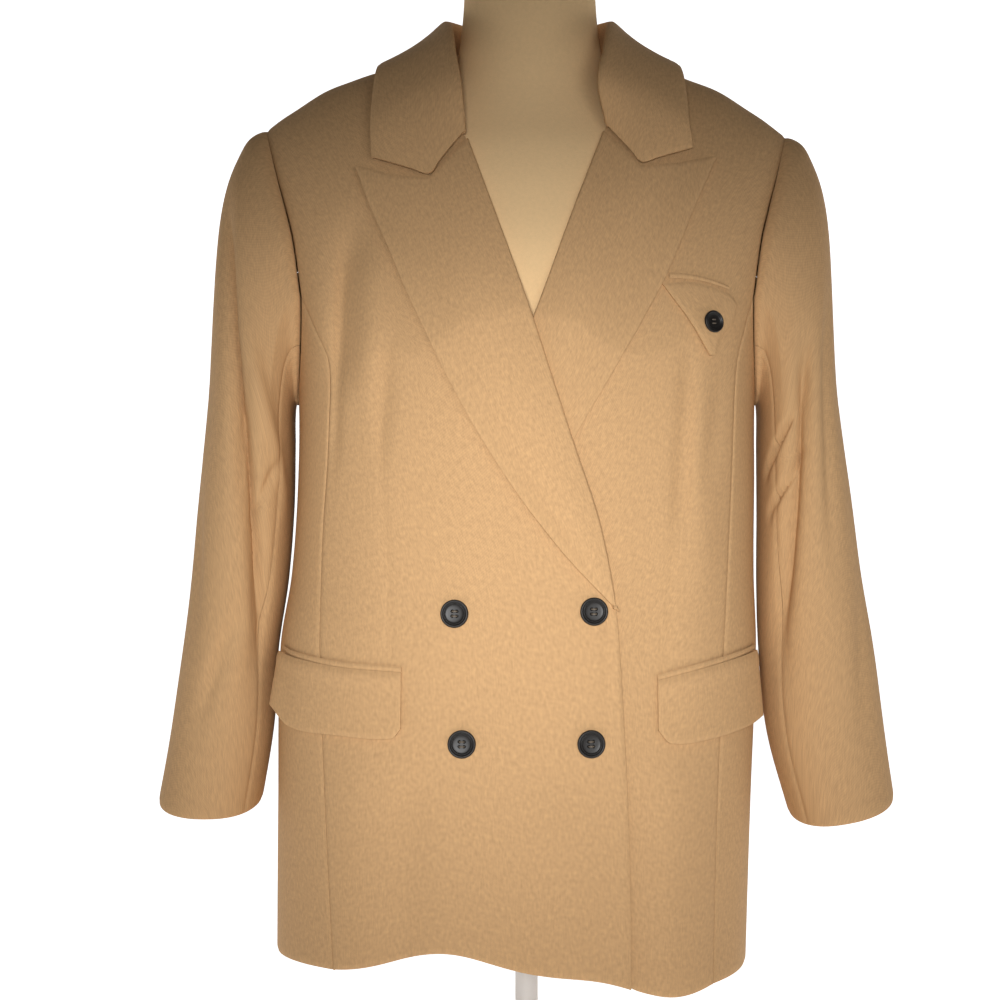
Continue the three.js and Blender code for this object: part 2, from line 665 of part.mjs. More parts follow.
// The lapel lies on its front; its outer edge stands off a little.
function lapel(side, name) {
  const { roll, edge, top, bottom, outer } = LAPELS[side];
  const grid = fillPatch(
    along(bottom, LAPEL_COLUMNS),
    along(top, LAPEL_COLUMNS),
    along(roll, LAPEL_ROWS),
    along(edge, LAPEL_ROWS),
  );
  const places = grid.map((row) => row.map(([x, z]) => onBody(FRONT, x, psiAt(FRONT, x, z), 0)));
  const base = CLOTH + SEAM + 0.3;
  const lift = (i, j) => {
    const across = j / LAPEL_COLUMNS;
    const rise = i / LAPEL_ROWS;
    const stand = (outer - base) * across ** 2 * ease(0, 0.25, rise);
    const roundness = 2.2 * Math.sin(Math.PI * Math.min(across * 1.5, 1)) * ease(0, 0.3, rise);
    return base + stand + roundness + frontLift(side, ...grid[i][j]);
  };
  const geometry = clothWall(places, lift, CLOTH);
  geometry.translate(0, -SEAM / 2, 0);
  return solid(name, geometry, CAMEL);
}

// ---- Collar ----
// Half sections from the centre back to the gorge: the foot of the stand, the roll, the middle and the
// outer edge of the fall. x is the distance from the middle of the neck.
const COLLAR = {
  [RIGHT]: [
    { t: 0, footX: 0, footY: 74, footZ: 897, rollX: 0, rollY: 76, rollZ: 939, edgeX: 0, edgeY: 100, edgeZ: 873 },
    { t: 1, footX: 42, footY: 58, footZ: 905, rollX: 42, rollY: 61, rollZ: 940, edgeX: 66, edgeY: 92, edgeZ: 879 },
    { t: 2, footX: 69, footY: 20, footZ: 918, rollX: 68, rollY: 18, rollZ: 940, edgeX: 122, edgeY: 40, edgeZ: 896 },
    { t: 3, footX: 71, footY: -22, footZ: 908, rollX: 66, rollY: -22, rollZ: 929, edgeX: 131, edgeY: -16, edgeZ: 898 },
    { t: 4, footX: 65, footY: -58, footZ: 884, rollX: 62, rollY: -60, rollZ: 897, edgeX: 135, edgeY: -52, edgeZ: 862 },
    { t: 5, footX: 54, footY: -96, footZ: 830, rollX: 52, rollY: -99, rollZ: 836, edgeX: 136, edgeY: -82, edgeZ: 807 },
  ],
};
const COLLAR_ENDS = {
  [RIGHT]: { roll: [-53.5, 827], notch: [-82.2, 790.5], tip: [-133, 807] },
  [LEFT]: { roll: [67.5, 834.5], notch: [97.2, 801.7], tip: [141.5, 816] },
};
const COLLAR_STEPS = 9;
const FALL_STEPS = 6;

// One section of the collar as a row of points from the foot of the stand over the roll to the outer edge.
function collarSection(side, t) {
  const get = (column) => read(COLLAR[RIGHT], "t", t, column);
  const shiftX = side === LEFT ? 4 : 0;
  const at = (place) =>
    new THREE.Vector3(
      side * get(`${place}X`) + side * shiftX * ease(0, 2, t),
      get(`${place}Y`),
      get(`${place}Z`) + (side === LEFT ? 6 * ease(3, 5, t) : 0),
    );
  const foot = at("foot");
  const roll = at("roll");
  const edge = at("edge");
  const outward = edge.clone().sub(roll).setZ(0).normalize();
  const points = [];
  const standSteps = 2;
  for (let i = 0; i < standSteps; i += 1) points.push(foot.clone().lerp(roll, (0.85 * i) / standSteps));
  const crown = roll.clone().addScaledVector(outward, 3);
  points.push(roll.clone().lerp(foot, 0.12));
  points.push(crown.clone().setZ(roll.z + 2));
  for (let j = 1; j <= FALL_STEPS; j += 1) {
    const v = j / FALL_STEPS;
    const point = crown.clone().addScaledVector(outward, 3).lerp(edge, v);
    point.z -= 5 * Math.sin(Math.PI * v) * (1 - t / 5);
    points.push(point);
  }
  return points;
}

// The last section follows the gorge seam and the lower edge of the collar on the chest.
function collarEnd(side) {
  const { roll, notch, tip } = COLLAR_ENDS[side];
  const lift = (x, z) => 6.4 + frontLift(side, x, z);
  const seam = along([roll, notch], 3);
  const free = along([notch, tip], FALL_STEPS - 3);
  const chest = [...seam.slice(1), ...free.slice(1)].map(([x, z]) => onFront(x, z, lift(x, z)));
  const start = onFront(...roll, lift(...roll));
  const inner = onFront(roll[0] + side * 1, roll[1] + 1, lift(...roll) - 4);
  return [inner, inner.clone().lerp(start, 0.3), inner.clone().lerp(start, 0.6), start, ...chest];
}

function collar(name) {
  const half = (side) => {
    const sections = Array.from({ length: COLLAR_STEPS }, (_, i) => collarSection(side, (5 * i) / COLLAR_STEPS));
    sections.push(collarEnd(side));
    return sections;
  };
  const rows = [...half(RIGHT).toReversed(), ...half(LEFT).slice(1)];
  const count = rows.length;
  const places = rows.map((row, i) =>
    row.map((point, j) => {
      const next = rows[Math.min(i + 1, count - 1)][j];
      const last = rows[Math.max(i - 1, 0)][j];
      const high = row[Math.max(j - 1, 0)];
      const low = row[Math.min(j + 1, row.length - 1)];
      const normal = next.clone().sub(last).cross(low.clone().sub(high)).normalize();
      return { point, normal };
    }),
  );
  return solid(name, clothWall(places, () => 0, -CLOTH), CAMEL);
}

// ---- Pockets ----
// Each flap lies between a top and a bottom line, read by its share of the way from its inner end.
const FLAPS = {
  [RIGHT]: [
    { s: 0, x: -105.5, top: 370.7, bottom: 324, lift: 3.4 },
    { s: 0.08, x: -113, top: 371.2, bottom: 315.8, lift: 3.4 },
    { s: 0.5, x: -160, top: 374, bottom: 316.5, lift: 3.6 },
    { s: 0.85, x: -199, top: 380, bottom: 321, lift: 7 },
    { s: 1, x: -211, top: 384, bottom: 338, lift: 13 },
  ],
  [LEFT]: [
    { s: 0, x: 109.5, top: 363.5, bottom: 322, lift: 3.4 },
    { s: 0.1, x: 119, top: 366, bottom: 311, lift: 3.4 },
    { s: 0.45, x: 150, top: 373.5, bottom: 312.5, lift: 3.6 },
    { s: 0.85, x: 186, top: 382, bottom: 321, lift: 6 },
    { s: 1, x: 196, top: 385, bottom: 328, lift: 10 },
  ],
};
const FLAP_COLUMNS = 10;
const FLAP_ROWS = 4;
const WELT_HEIGHT = 4.6;

// A point on the front at x, reached round the side by its angle, with its outward normal.
function nearSide(side, x, z) {
  const fromMiddle = Math.abs(x - ring(z, "shift"));
  return onSide(side, angleAt(FRONT, fromMiddle, z), z, 0);
}

function hipFlap(side, name) {
  const rows = Array.from({ length: FLAP_ROWS + 1 }, (_, i) => i / FLAP_ROWS);
  const columns = Array.from({ length: FLAP_COLUMNS + 1 }, (_, j) => j / FLAP_COLUMNS);
  const get = (s, column) => read(FLAPS[side], "s", s, column);
  const places = rows.map((v) =>
    columns.map((s) => nearSide(side, get(s, "x"), mix(get(s, "top"), get(s, "bottom"), v))),
  );
  const hang = (i, j) => {
    const base = CLOTH + SEAM + 0.2;
    const extra = get(columns[j], "lift") - base;
    return base + extra * (0.35 + 0.65 * rows[i]) + 1.2 * Math.sin(rows[i] * QUARTER) + flapBase(side, columns[j]);
  };
  return solid(name, clothWall(places, hang, CLOTH), CAMEL);
}

const flapBase = (side, s) => frontLift(side, read(FLAPS[side], "s", s, "x"), FLAPS[side][0].top);

function hipWelt(side, name) {
  const columns = Array.from({ length: FLAP_COLUMNS + 1 }, (_, j) => j / FLAP_COLUMNS);
  const get = (s, column) => read(FLAPS[side], "s", s, column);
  const places = [0, 0.5, 1].map((v) =>
    columns.map((s) => {
      const z = get(s, "top") + SEAM + 0.4 + v * WELT_HEIGHT;
      return nearSide(side, get(s, "x"), z);
    }),
  );
  const lift = (i, j) => 1.2 + SEAM + 0.3 + flapBase(side, columns[j]);
  return solid(name, clothWall(places, lift, 1.2), CAMEL);
}

const BREAST_FLAP = {
  top: [[114, 698], [138.5, 699], [157.5, 695], [172, 689.5], [178, 682]],
  inner: [[152, 637], [135, 666.5], [124, 683], [114, 698]],
  outer: [[156.5, 638], [161.7, 653.5], [173.5, 667], [178, 682]],
  bottom: [[152, 637], [156.5, 638]],
};
const BREAST_WELT = { x: 119.5, endX: 170, z: 702.5, endZ: 694, height: 5 };

// The flap stands off more and more from its top, at 0, to its point, at 1.
const breastFlapLift = (down) => CLOTH + SEAM + 0.3 + 2.4 * down;

function breastFlap(name) {
  const { top, inner, outer, bottom } = BREAST_FLAP;
  const grid = fillPatch(along(bottom, 6), along(top, 6), along(inner, 6), along(outer, 6));
  const places = grid.map((row) => row.map(([x, z]) => onBody(FRONT, x, psiAt(FRONT, x, z), 0)));
  const lift = (i, j) => breastFlapLift(1 - i / 6) + frontLift(LEFT, ...grid[i][j]);
  return solid(name, clothWall(places, lift, CLOTH), CAMEL);
}

function breastWelt(name) {
  const { x, endX, z, endZ, height } = BREAST_WELT;
  const rows = [0, 1].map((v) =>
    Array.from({ length: 7 }, (_, j) => {
      const s = j / 6;
      const low = mix(z, endZ, s ** 2) + v * height * (1 - 0.4 * s);
      const across = mix(x, endX, s);
      return onBody(FRONT, across, psiAt(FRONT, across, low), 0);
    }),
  );
  const lift = (i, j) => 1.2 + SEAM + 0.3 + frontLift(LEFT, mix(x, endX, j / 6), z);
  return solid(name, clothWall(rows, lift, 1.2), CAMEL);
}

// ---- Buttons ----
const BUTTONS = [
  { name: "button_top_right", x: -61.3, z: 420.3, radius: 11.8 },
  { name: "button_top_left", x: 54.4, z: 422, radius: 11.8 },
  { name: "button_low_right", x: -55.3, z: 312.2, radius: 11.8 },
  { name: "button_low_left", x: 51.9, z: 312.2, radius: 11.8 },
  { name: "button_breast", x: 154, z: 665, radius: 9.5 },
];

// A rimmed disc with a dished middle, turned about its own axis, with four sewing holes through it.
function buttonGeometry(radius) {
  const thickness = radius * 0.3;
  const profile = [
    [0, 0],
    [radius * 0.86, 0],
    [radius, thickness * 0.45],
    [radius * 0.95, thickness * 0.95],
    [radius * 0.84, thickness],
    [radius * 0.72, thickness * 0.7],
    [radius * 0.3, thickness * 0.55],
    [0, thickness * 0.55],
  ].map(([r, h]) => new THREE.Vector2(r, h));
  const disc = asSolid(new THREE.LatheGeometry(profile, 24));
  let button = disc;
  for (const [i, j] of [[-1, -1], [-1, 1], [1, -1], [1, 1]]) {
    const hole = new THREE.CylinderGeometry(radius * 0.09, radius * 0.09, thickness * 4, 8);
    hole.translate(i * radius * 0.17, 0, j * radius * 0.17);
    button = button.subtract(asSolid(hole));
  }
  return fromSolid(button).rotateX(QUARTER);
}

function asSolid(geometry) {
  geometry.deleteAttribute("normal");
  geometry.deleteAttribute("uv");
  const merged = mergeVertices(geometry, 1e-4);
  const triVerts = new Uint32Array(merged.index.array);
  return new wasm.Manifold(
    new wasm.Mesh({ numProp: 3, vertProperties: merged.attributes.position.array, triVerts }),
  );
}

function fromSolid(made) {
  const { vertProperties, triVerts, numProp } = made.getMesh();
  const geometry = new THREE.BufferGeometry();
  const positions = [];
  for (let i = 0; i < vertProperties.length; i += numProp) {
    positions.push(...vertProperties.subarray(i, i + 3));
  }
  geometry.setAttribute("position", new THREE.Float32BufferAttribute(positions, 3));
  geometry.setIndex(Array.from(triVerts));
  return geometry;
}

function button({ name, x, z, radius }) {
  const psi = psiAt(FRONT, x, z);
  const { normal } = onBody(FRONT, x, psi, 0);
  const flapLift = name === "button_breast" ? breastFlapLift(0.55) + frontLift(LEFT, x, z) : 0;
  const { point } = onBody(FRONT, x, psi, SEAM * 2 + flapLift);
  const mesh = solid(name, buttonGeometry(radius), BUTTON_RESIN);
  mesh.quaternion.setFromUnitVectors(new THREE.Vector3(0, 0, 1), normal);
  mesh.position.copy(point);
  return mesh;
}

// ---- The dress form and its stand ----
const FORM = [
  { z: 232, half: 150, front: 112, back: 112 },
  { z: 262, half: 172, front: 126, back: 132 },
  { z: 340, half: 184, front: 132, back: 140 },
  { z: 430, half: 176, front: 128, back: 130 },
  { z: 510, half: 168, front: 130, back: 120 },
  { z: 590, half: 178, front: 142, back: 126 },
  { z: 650, half: 188, front: 146, back: 132 },
  { z: 720, half: 192, front: 140, back: 134 },
  { z: 800, half: 196, front: 126, back: 132 },
];
const FORM_TOP = 884;
const WIDEST_REACH = 190; // the form's half width at most
const RIDGE_CLEARANCE = 2.0; // between the form's shoulders and the cloth
const FORM_EDGE = 1.5; // half thickness of the form's shoulders at least
const NECK = [
  { z: 820, half: 88, front: 84, back: 76 },
  { z: 860, half: 76, front: 72, back: 66 },
  { z: 888, half: 67, front: 60, back: 59 },
  { z: 915, half: 62.5, front: 54, back: 56 },
  { z: 940, half: 60, front: 52, back: 55 },
  { z: 961, half: 58.5, front: 51, back: 54 },
];
const NECK_MIDDLE = { x: 3, y: 6 };
const BASE = { radius: 150, height: 14, poleRadius: 10, flangeRadius: 32, flangeHeight: 16 };

// A closed solid from a stack of rings, each a list of points, with flat ends.
function stack(rings) {
  const count = rings[0].length;
  const positions = rings.flat().flatMap((p) => [p.x, p.y, p.z]);
  const faces = [];
  for (let i = 0; i < rings.length - 1; i += 1) {
    for (let j = 0; j < count; j += 1) {
      const k = (j + 1) % count;
      const low = i * count;
      const high = low + count;
      faces.push(low + j, low + k, high + k, low + j, high + k, high + j);
    }
  }
  const last = (rings.length - 1) * count;
  for (let j = 1; j < count - 1; j += 1) {
    faces.push(0, j + 1, j);
    faces.push(last, last + j, last + j + 1);
  }
  return facingOut(positions, faces);
}

// The torso stays inside the cloth: each ring takes the smaller of its own size and the cloth's, less a clearance.
function torso() {
  const clearance = 4.5;
  const backClearance = 8;
  const overlapClearance = UNDERLAP + CLOTH + 3;
  const heights = [232, 262, 340, 430, 510, 590, 650, 700, 745, 785, 815, 840, 860, 874, FORM_TOP];
  const sides = 28;
  const rings = heights.map((z) => {
    let reach = 0;
    while (reach < WIDEST_REACH && ridgeHeight(reach) - CLOTH - RIDGE_CLEARANCE > z) reach += 1;
    const half = Math.min(read(FORM, "z", z, "half"), reach);
    return Array.from({ length: sides }, (_, j) => {
      const angle = (j / sides) * 2 * Math.PI;
      const x = half * Math.sin(angle);
      const face = Math.cos(angle) > 0 ? FRONT : BACK;
      const own = read(FORM, "z", z, face === FRONT ? "front" : "back") * Math.abs(Math.cos(angle)) ** 0.85;
      const wide = x + Math.sign(x) * clearance;
      const room = onBody(face, wide, psiAt(face, wide, z + clearance), 0).point;
      const cover = face * room.y - (face === FRONT ? overlapClearance : backClearance);
      return new THREE.Vector3(x, face * Math.max(Math.min(own, cover), face * ridgeY(x) + FORM_EDGE), z);
    });
  });
  const neckRings = NECK.map(({ z, half, front: frontDepth, back: backDepth }) =>
    Array.from({ length: sides }, (_, j) => {
      const angle = (j / sides) * 2 * Math.PI;
      const depth = Math.cos(angle) > 0 ? -frontDepth : -backDepth;
      const x = NECK_MIDDLE.x + half * Math.sin(angle);
      return new THREE.Vector3(x, NECK_MIDDLE.y + depth * Math.cos(angle), z);
    }),
  );
  return fromSolid(asSolid(stack(rings)).add(asSolid(stack(neckRings))));
}

function neckCap() {
  const profile = [
    [0, 0],
    [57, 0],
    [58, 2],
    [58, 8],
    [54, 12],
    [30, 16],
    [0, 17],
  ].map(([r, h]) => new THREE.Vector2(r, h));
  const cap = new THREE.LatheGeometry(profile, 32);
  cap.rotateX(QUARTER);
  cap.scale(1, 0.97, 1);
  const mesh = solid("neck_cap", closed(cap), WHITE_PAINT);
  mesh.position.set(NECK_MIDDLE.x, NECK_MIDDLE.y + 5, NECK.at(-1).z + SEAM);
  return mesh;
}

const closed = (geometry) => fromSolid(asSolid(geometry));

function pole() {
  const bottom = BASE.height + BASE.flangeHeight + SEAM;
  const height = FORM[0].z - SEAM - bottom;
  const geometry = new THREE.CylinderGeometry(BASE.poleRadius, BASE.poleRadius, height, 24);
  const mesh = solid("stand_pole", closed(geometry.rotateX(QUARTER)), WHITE_PAINT);
  mesh.position.z = bottom + height / 2;
  return mesh;
}

function base() {
  const { radius, height, flangeRadius, flangeHeight, poleRadius } = BASE;
  const profile = [
    [0, 0],
    [radius - 2, 0],
    [radius, 2],
    [radius, height - 4],
    [radius - 4, height],
    [flangeRadius, height + 1],
    [poleRadius + 6, height + flangeHeight],
    [0, height + flangeHeight],
  ].map(([r, h]) => new THREE.Vector2(r, h));
  const geometry = new THREE.LatheGeometry(profile, 48);
  return solid("stand_base", closed(geometry.rotateX(QUARTER)), WHITE_PAINT);
}

// ---- The whole part ----
const part = new THREE.Group();
part.add(front(RIGHT, "right_front"), front(LEFT, "left_front"));
part.add(sidePanel(RIGHT, "right_side_panel"), sidePanel(LEFT, "left_side_panel"));
part.add(back(RIGHT, "right_back"), back(LEFT, "left_back"));
part.add(sleeve(RIGHT, "right"), sleeve(LEFT, "left"));
part.add(lapel(RIGHT, "right_lapel"), lapel(LEFT, "left_lapel"));
part.add(collar("collar"));
part.add(hipWelt(RIGHT, "right_hip_welt"), hipWelt(LEFT, "left_hip_welt"));
part.add(hipFlap(RIGHT, "right_hip_flap"), hipFlap(LEFT, "left_hip_flap"));
part.add(breastWelt("breast_welt"), breastFlap("breast_flap"));
for (const row of BUTTONS) part.add(button(row));
const formTorso = solid("form_torso", torso(), FORM_COVER);
part.add(formTorso, neckCap(), pole(), base());

// The part's origin is the middle of its box at floor level.
const wholeBox = new THREE.Box3().setFromObject(part, true);
const middle = wholeBox.getCenter(new THREE.Vector3()).setZ(wholeBox.min.z);
for (const piece of part.children) piece.position.sub(middle);

export default part;
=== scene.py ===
"""Builds the looks of a double-breasted blazer on a limbless dress form, over its CAD frame.

The cloth is a set of thin shells on one body surface. Sizes are in millimetres and are turned
into metres when a mesh is made. The front faces -Y and +X is the wearer's left.
"""

import logging
import math
from collections.abc import Callable
from dataclasses import dataclass
from enum import Enum, IntEnum

import bpy
import numpy as np
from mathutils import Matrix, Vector


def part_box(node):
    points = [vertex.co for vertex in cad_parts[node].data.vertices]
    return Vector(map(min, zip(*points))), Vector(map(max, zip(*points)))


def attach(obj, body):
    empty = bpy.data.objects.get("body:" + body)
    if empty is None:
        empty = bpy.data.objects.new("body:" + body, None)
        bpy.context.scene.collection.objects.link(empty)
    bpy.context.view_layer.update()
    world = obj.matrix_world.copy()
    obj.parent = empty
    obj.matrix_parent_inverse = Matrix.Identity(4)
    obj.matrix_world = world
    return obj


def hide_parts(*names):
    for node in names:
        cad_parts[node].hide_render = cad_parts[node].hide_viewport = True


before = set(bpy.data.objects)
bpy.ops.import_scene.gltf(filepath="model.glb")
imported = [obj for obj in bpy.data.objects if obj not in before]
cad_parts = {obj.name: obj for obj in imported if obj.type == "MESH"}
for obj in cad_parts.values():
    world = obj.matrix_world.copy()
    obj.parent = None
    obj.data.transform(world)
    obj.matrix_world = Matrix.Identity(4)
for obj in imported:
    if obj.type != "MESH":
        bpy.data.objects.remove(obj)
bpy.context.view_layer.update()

log = logging.getLogger("blazer")

Array = np.ndarray
Number = float | Array
Line = tuple[tuple[float, float], ...]

MM = 0.001
CLOTH = 2.0  # wall of the suiting with its fusing
SEAM = 0.3  # gap between two panels
LEAST_CUT = 0.01  # metres; a narrower strip is cut this wide and turned in
QUARTER = math.pi / 2


class Side(IntEnum):
    """The wearer's side, and the sign of its X."""

    RIGHT = -1
    LEFT = 1


class Face(IntEnum):
    """The front or the back of the body, and the sign of its Y."""

    FRONT = -1
    BACK = 1


class Slot(Enum):
    """The record's material slots."""

    SUITING = "suiting"
    BUTTON = "button_resin"
    FORM = "form_cover"
    METAL = "white_metal"


# ---- Number helpers ----
def mix(a: Number, b: Number, t: Number) -> Number:
    """A value between two others.

    Args:
        a: The value at 0.
        b: The value at 1.
        t: The share of the way.

    Returns:
        The mixed value.
    """
    return a + (b - a) * t


def ease(low: float, high: float, value: Number) -> Number:
    """A soft step.

    Args:
        low: Where the step starts.
        high: Where it ends.
        value: The place.

    Returns:
        0 before low, 1 after high and a smooth rise between.
    """
    t = np.clip((value - low) / (high - low), 0, 1)
    return t * t * (3 - 2 * t)


def bell(distance: Number, width: Number) -> Number:
    """A soft bump.

    Args:
        distance: How far from its middle.
        width: Its half width.

    Returns:
        1 in the middle, falling to 0.
    """
    return np.exp(-((distance / width) ** 2))


def unit(vectors: Array) -> Array:
    """Vectors of length one.

    Args:
        vectors: An array whose last axis is x, y, z.

    Returns:
        The same directions.
    """
    return vectors / np.maximum(np.linalg.norm(vectors, axis=-1, keepdims=True), 1e-12)


def smooth_read(keys: Array, values: Array, place: Number) -> Array:
    """Reads values along a smooth curve: a cubic through the rows with slopes from their neighbours.

    Args:
        keys: Rising places of the rows.
        values: One value, or one row of values, for each key.
        place: Where to read.

    Returns:
        The values at the places.
    """
    count = len(keys)
    at = np.clip(place, keys[0], keys[-1])
    row = np.clip(np.searchsorted(keys, at, side="left") - 1, 0, count - 2)
    low = np.maximum(np.arange(count) - 1, 0)
    high = np.minimum(np.arange(count) + 1, count - 1)
    extra = (slice(None),) + (None,) * (values.ndim - 1)
    slope = (values[high] - values[low]) / (keys[high] - keys[low])[extra]
    span = keys[row + 1] - keys[row]
    t = (at - keys[row]) / span
    if values.ndim > 1:
        span, t = span[..., None], t[..., None]
    rise = values[row + 1] - values[row]
    start = slope[row] * span - rise
    end = rise - slope[row + 1] * span
    return values[row] + rise * t + t * (1 - t) * (start * (1 - t) + end * t)


@dataclass(frozen=True)
class Table:
    """Named columns of sizes; the first column is the key and rises."""

    names: tuple[str, ...]
    rows: tuple[tuple[float, ...], ...]

    def read(self, name: str, place: Number) -> Array:
        """Reads one column.

        Args:
            name: The column.
            place: Places of the key column.

        Returns:
            The column's values there.
        """
        data = np.array(self.rows, float)
        return smooth_read(data[:, 0], data[:, self.names.index(name)], np.asarray(place, float))


def curve(points: Line, t: Array, smooth: bool = True) -> Array:
    """Points along a line, by its length.

    Args:
        points: The line's corners.
        t: Shares of the length.
        smooth: Rounds the corners.

    Returns:
        One point for each share.
    """
    corners = np.array(points, float)
    steps = np.linalg.norm(np.diff(corners, axis=0), axis=1)
    lengths = np.concatenate([[0.0], np.cumsum(steps)])
    place = np.asarray(t) * lengths[-1]
    if smooth:
        return smooth_read(lengths, corners, place)
    return np.stack([np.interp(place, lengths, corners[:, k]) for k in range(2)], axis=-1)


def spread(count: int, near: tuple[float, ...] = (0.004, 0.01, 0.018)) -> Array:
    """Shares from 0 to 1 that lie closer together at both ends.

    Args:
        count: How many even shares lie between.
        near: The close shares at the start, mirrored at the end.

    Returns:
        The rising shares.
    """
    close = np.array(near)
    inside = np.linspace(near[-1] * 1.7, 1 - near[-1] * 1.7, count)
    return np.concatenate([[0.0], close, inside, 1 - close[::-1], [1.0]])


def coons(bottom: Array, top: Array, start: Array, end: Array, u: Array, v: Array) -> Array:
    """Fills the space between four edges: the two ruled surfaces less the one through the corners.

    Args:
        bottom: The edge at v = 0, one point for each u.
        top: The edge at v = 1.
        start: The edge at u = 0, one point for each v.
        end: The edge at u = 1.
        u: Shares across.
        v: Shares up.

    Returns:
        A grid of points.
    """
    across, up = u[None, :, None], v[:, None, None]
    ruled = mix(start[:, None], end[:, None], across) + mix(bottom[None], top[None], up)
    foot = mix(bottom[0], bottom[-1], across)
    head = mix(top[0], top[-1], across)
    return ruled - mix(foot, head, up)


# ---- The body surface ----
@dataclass(frozen=True)
class Fold:
    """A soft fold from its top to its foot; a trough has a negative depth."""

    face: Face
    top: tuple[float, float]
    foot: tuple[float, float]
    depth: float
    width: float
    fade: float = 60.0


FOLDS = (
    Fold(Face.FRONT, (-150, 775), (-160, 590), -9, 14),
    Fold(Face.FRONT, (-128, 760), (-138, 580), 5.5, 17),
    Fold(Face.FRONT, (-156, 745), (-166, 520), -4.2, 5),
    Fold(Face.FRONT, (-150, 330), (-150, 60), 4, 30),
    Fold(Face.FRONT, (118, 330), (122, 60), 6, 24),
    Fold(Face.FRONT, (150, 640), (147, 420), 3, 14),
    Fold(Face.FRONT, (-119, 670), (-124, 530), -4, 8),
    Fold(Face.FRONT, (-125, 584), (-115, 376), -1.5, 2.3, 12),
    Fold(Face.FRONT, (138, 665), (127, 465), -5, 8),
    Fold(Face.FRONT, (124, 488), (117, 374), -1.5, 2.3, 12),
    Fold(Face.FRONT, (166, 640), (148, 500), -4, 9),
    Fold(Face.FRONT, (-96, 310), (-104, 90), -4.5, 20),
    Fold(Face.FRONT, (20, 290), (28, 80), 3.5, 26),
    Fold(Face.FRONT, (176, 300), (166, 90), -4.5, 14),
    Fold(Face.BACK, (-118, 740), (-112, 420), -5, 18),
    Fold(Face.BACK, (112, 760), (108, 450), -6, 20),
    Fold(Face.BACK, (-60, 360), (-74, 60), 7, 34),
    Fold(Face.BACK, (84, 380), (92, 60), 6, 30),
    Fold(Face.BACK, (-150, 600), (-128, 430), -3, 10),
    Fold(Face.BACK, (142, 610), (124, 440), -3, 10),
)


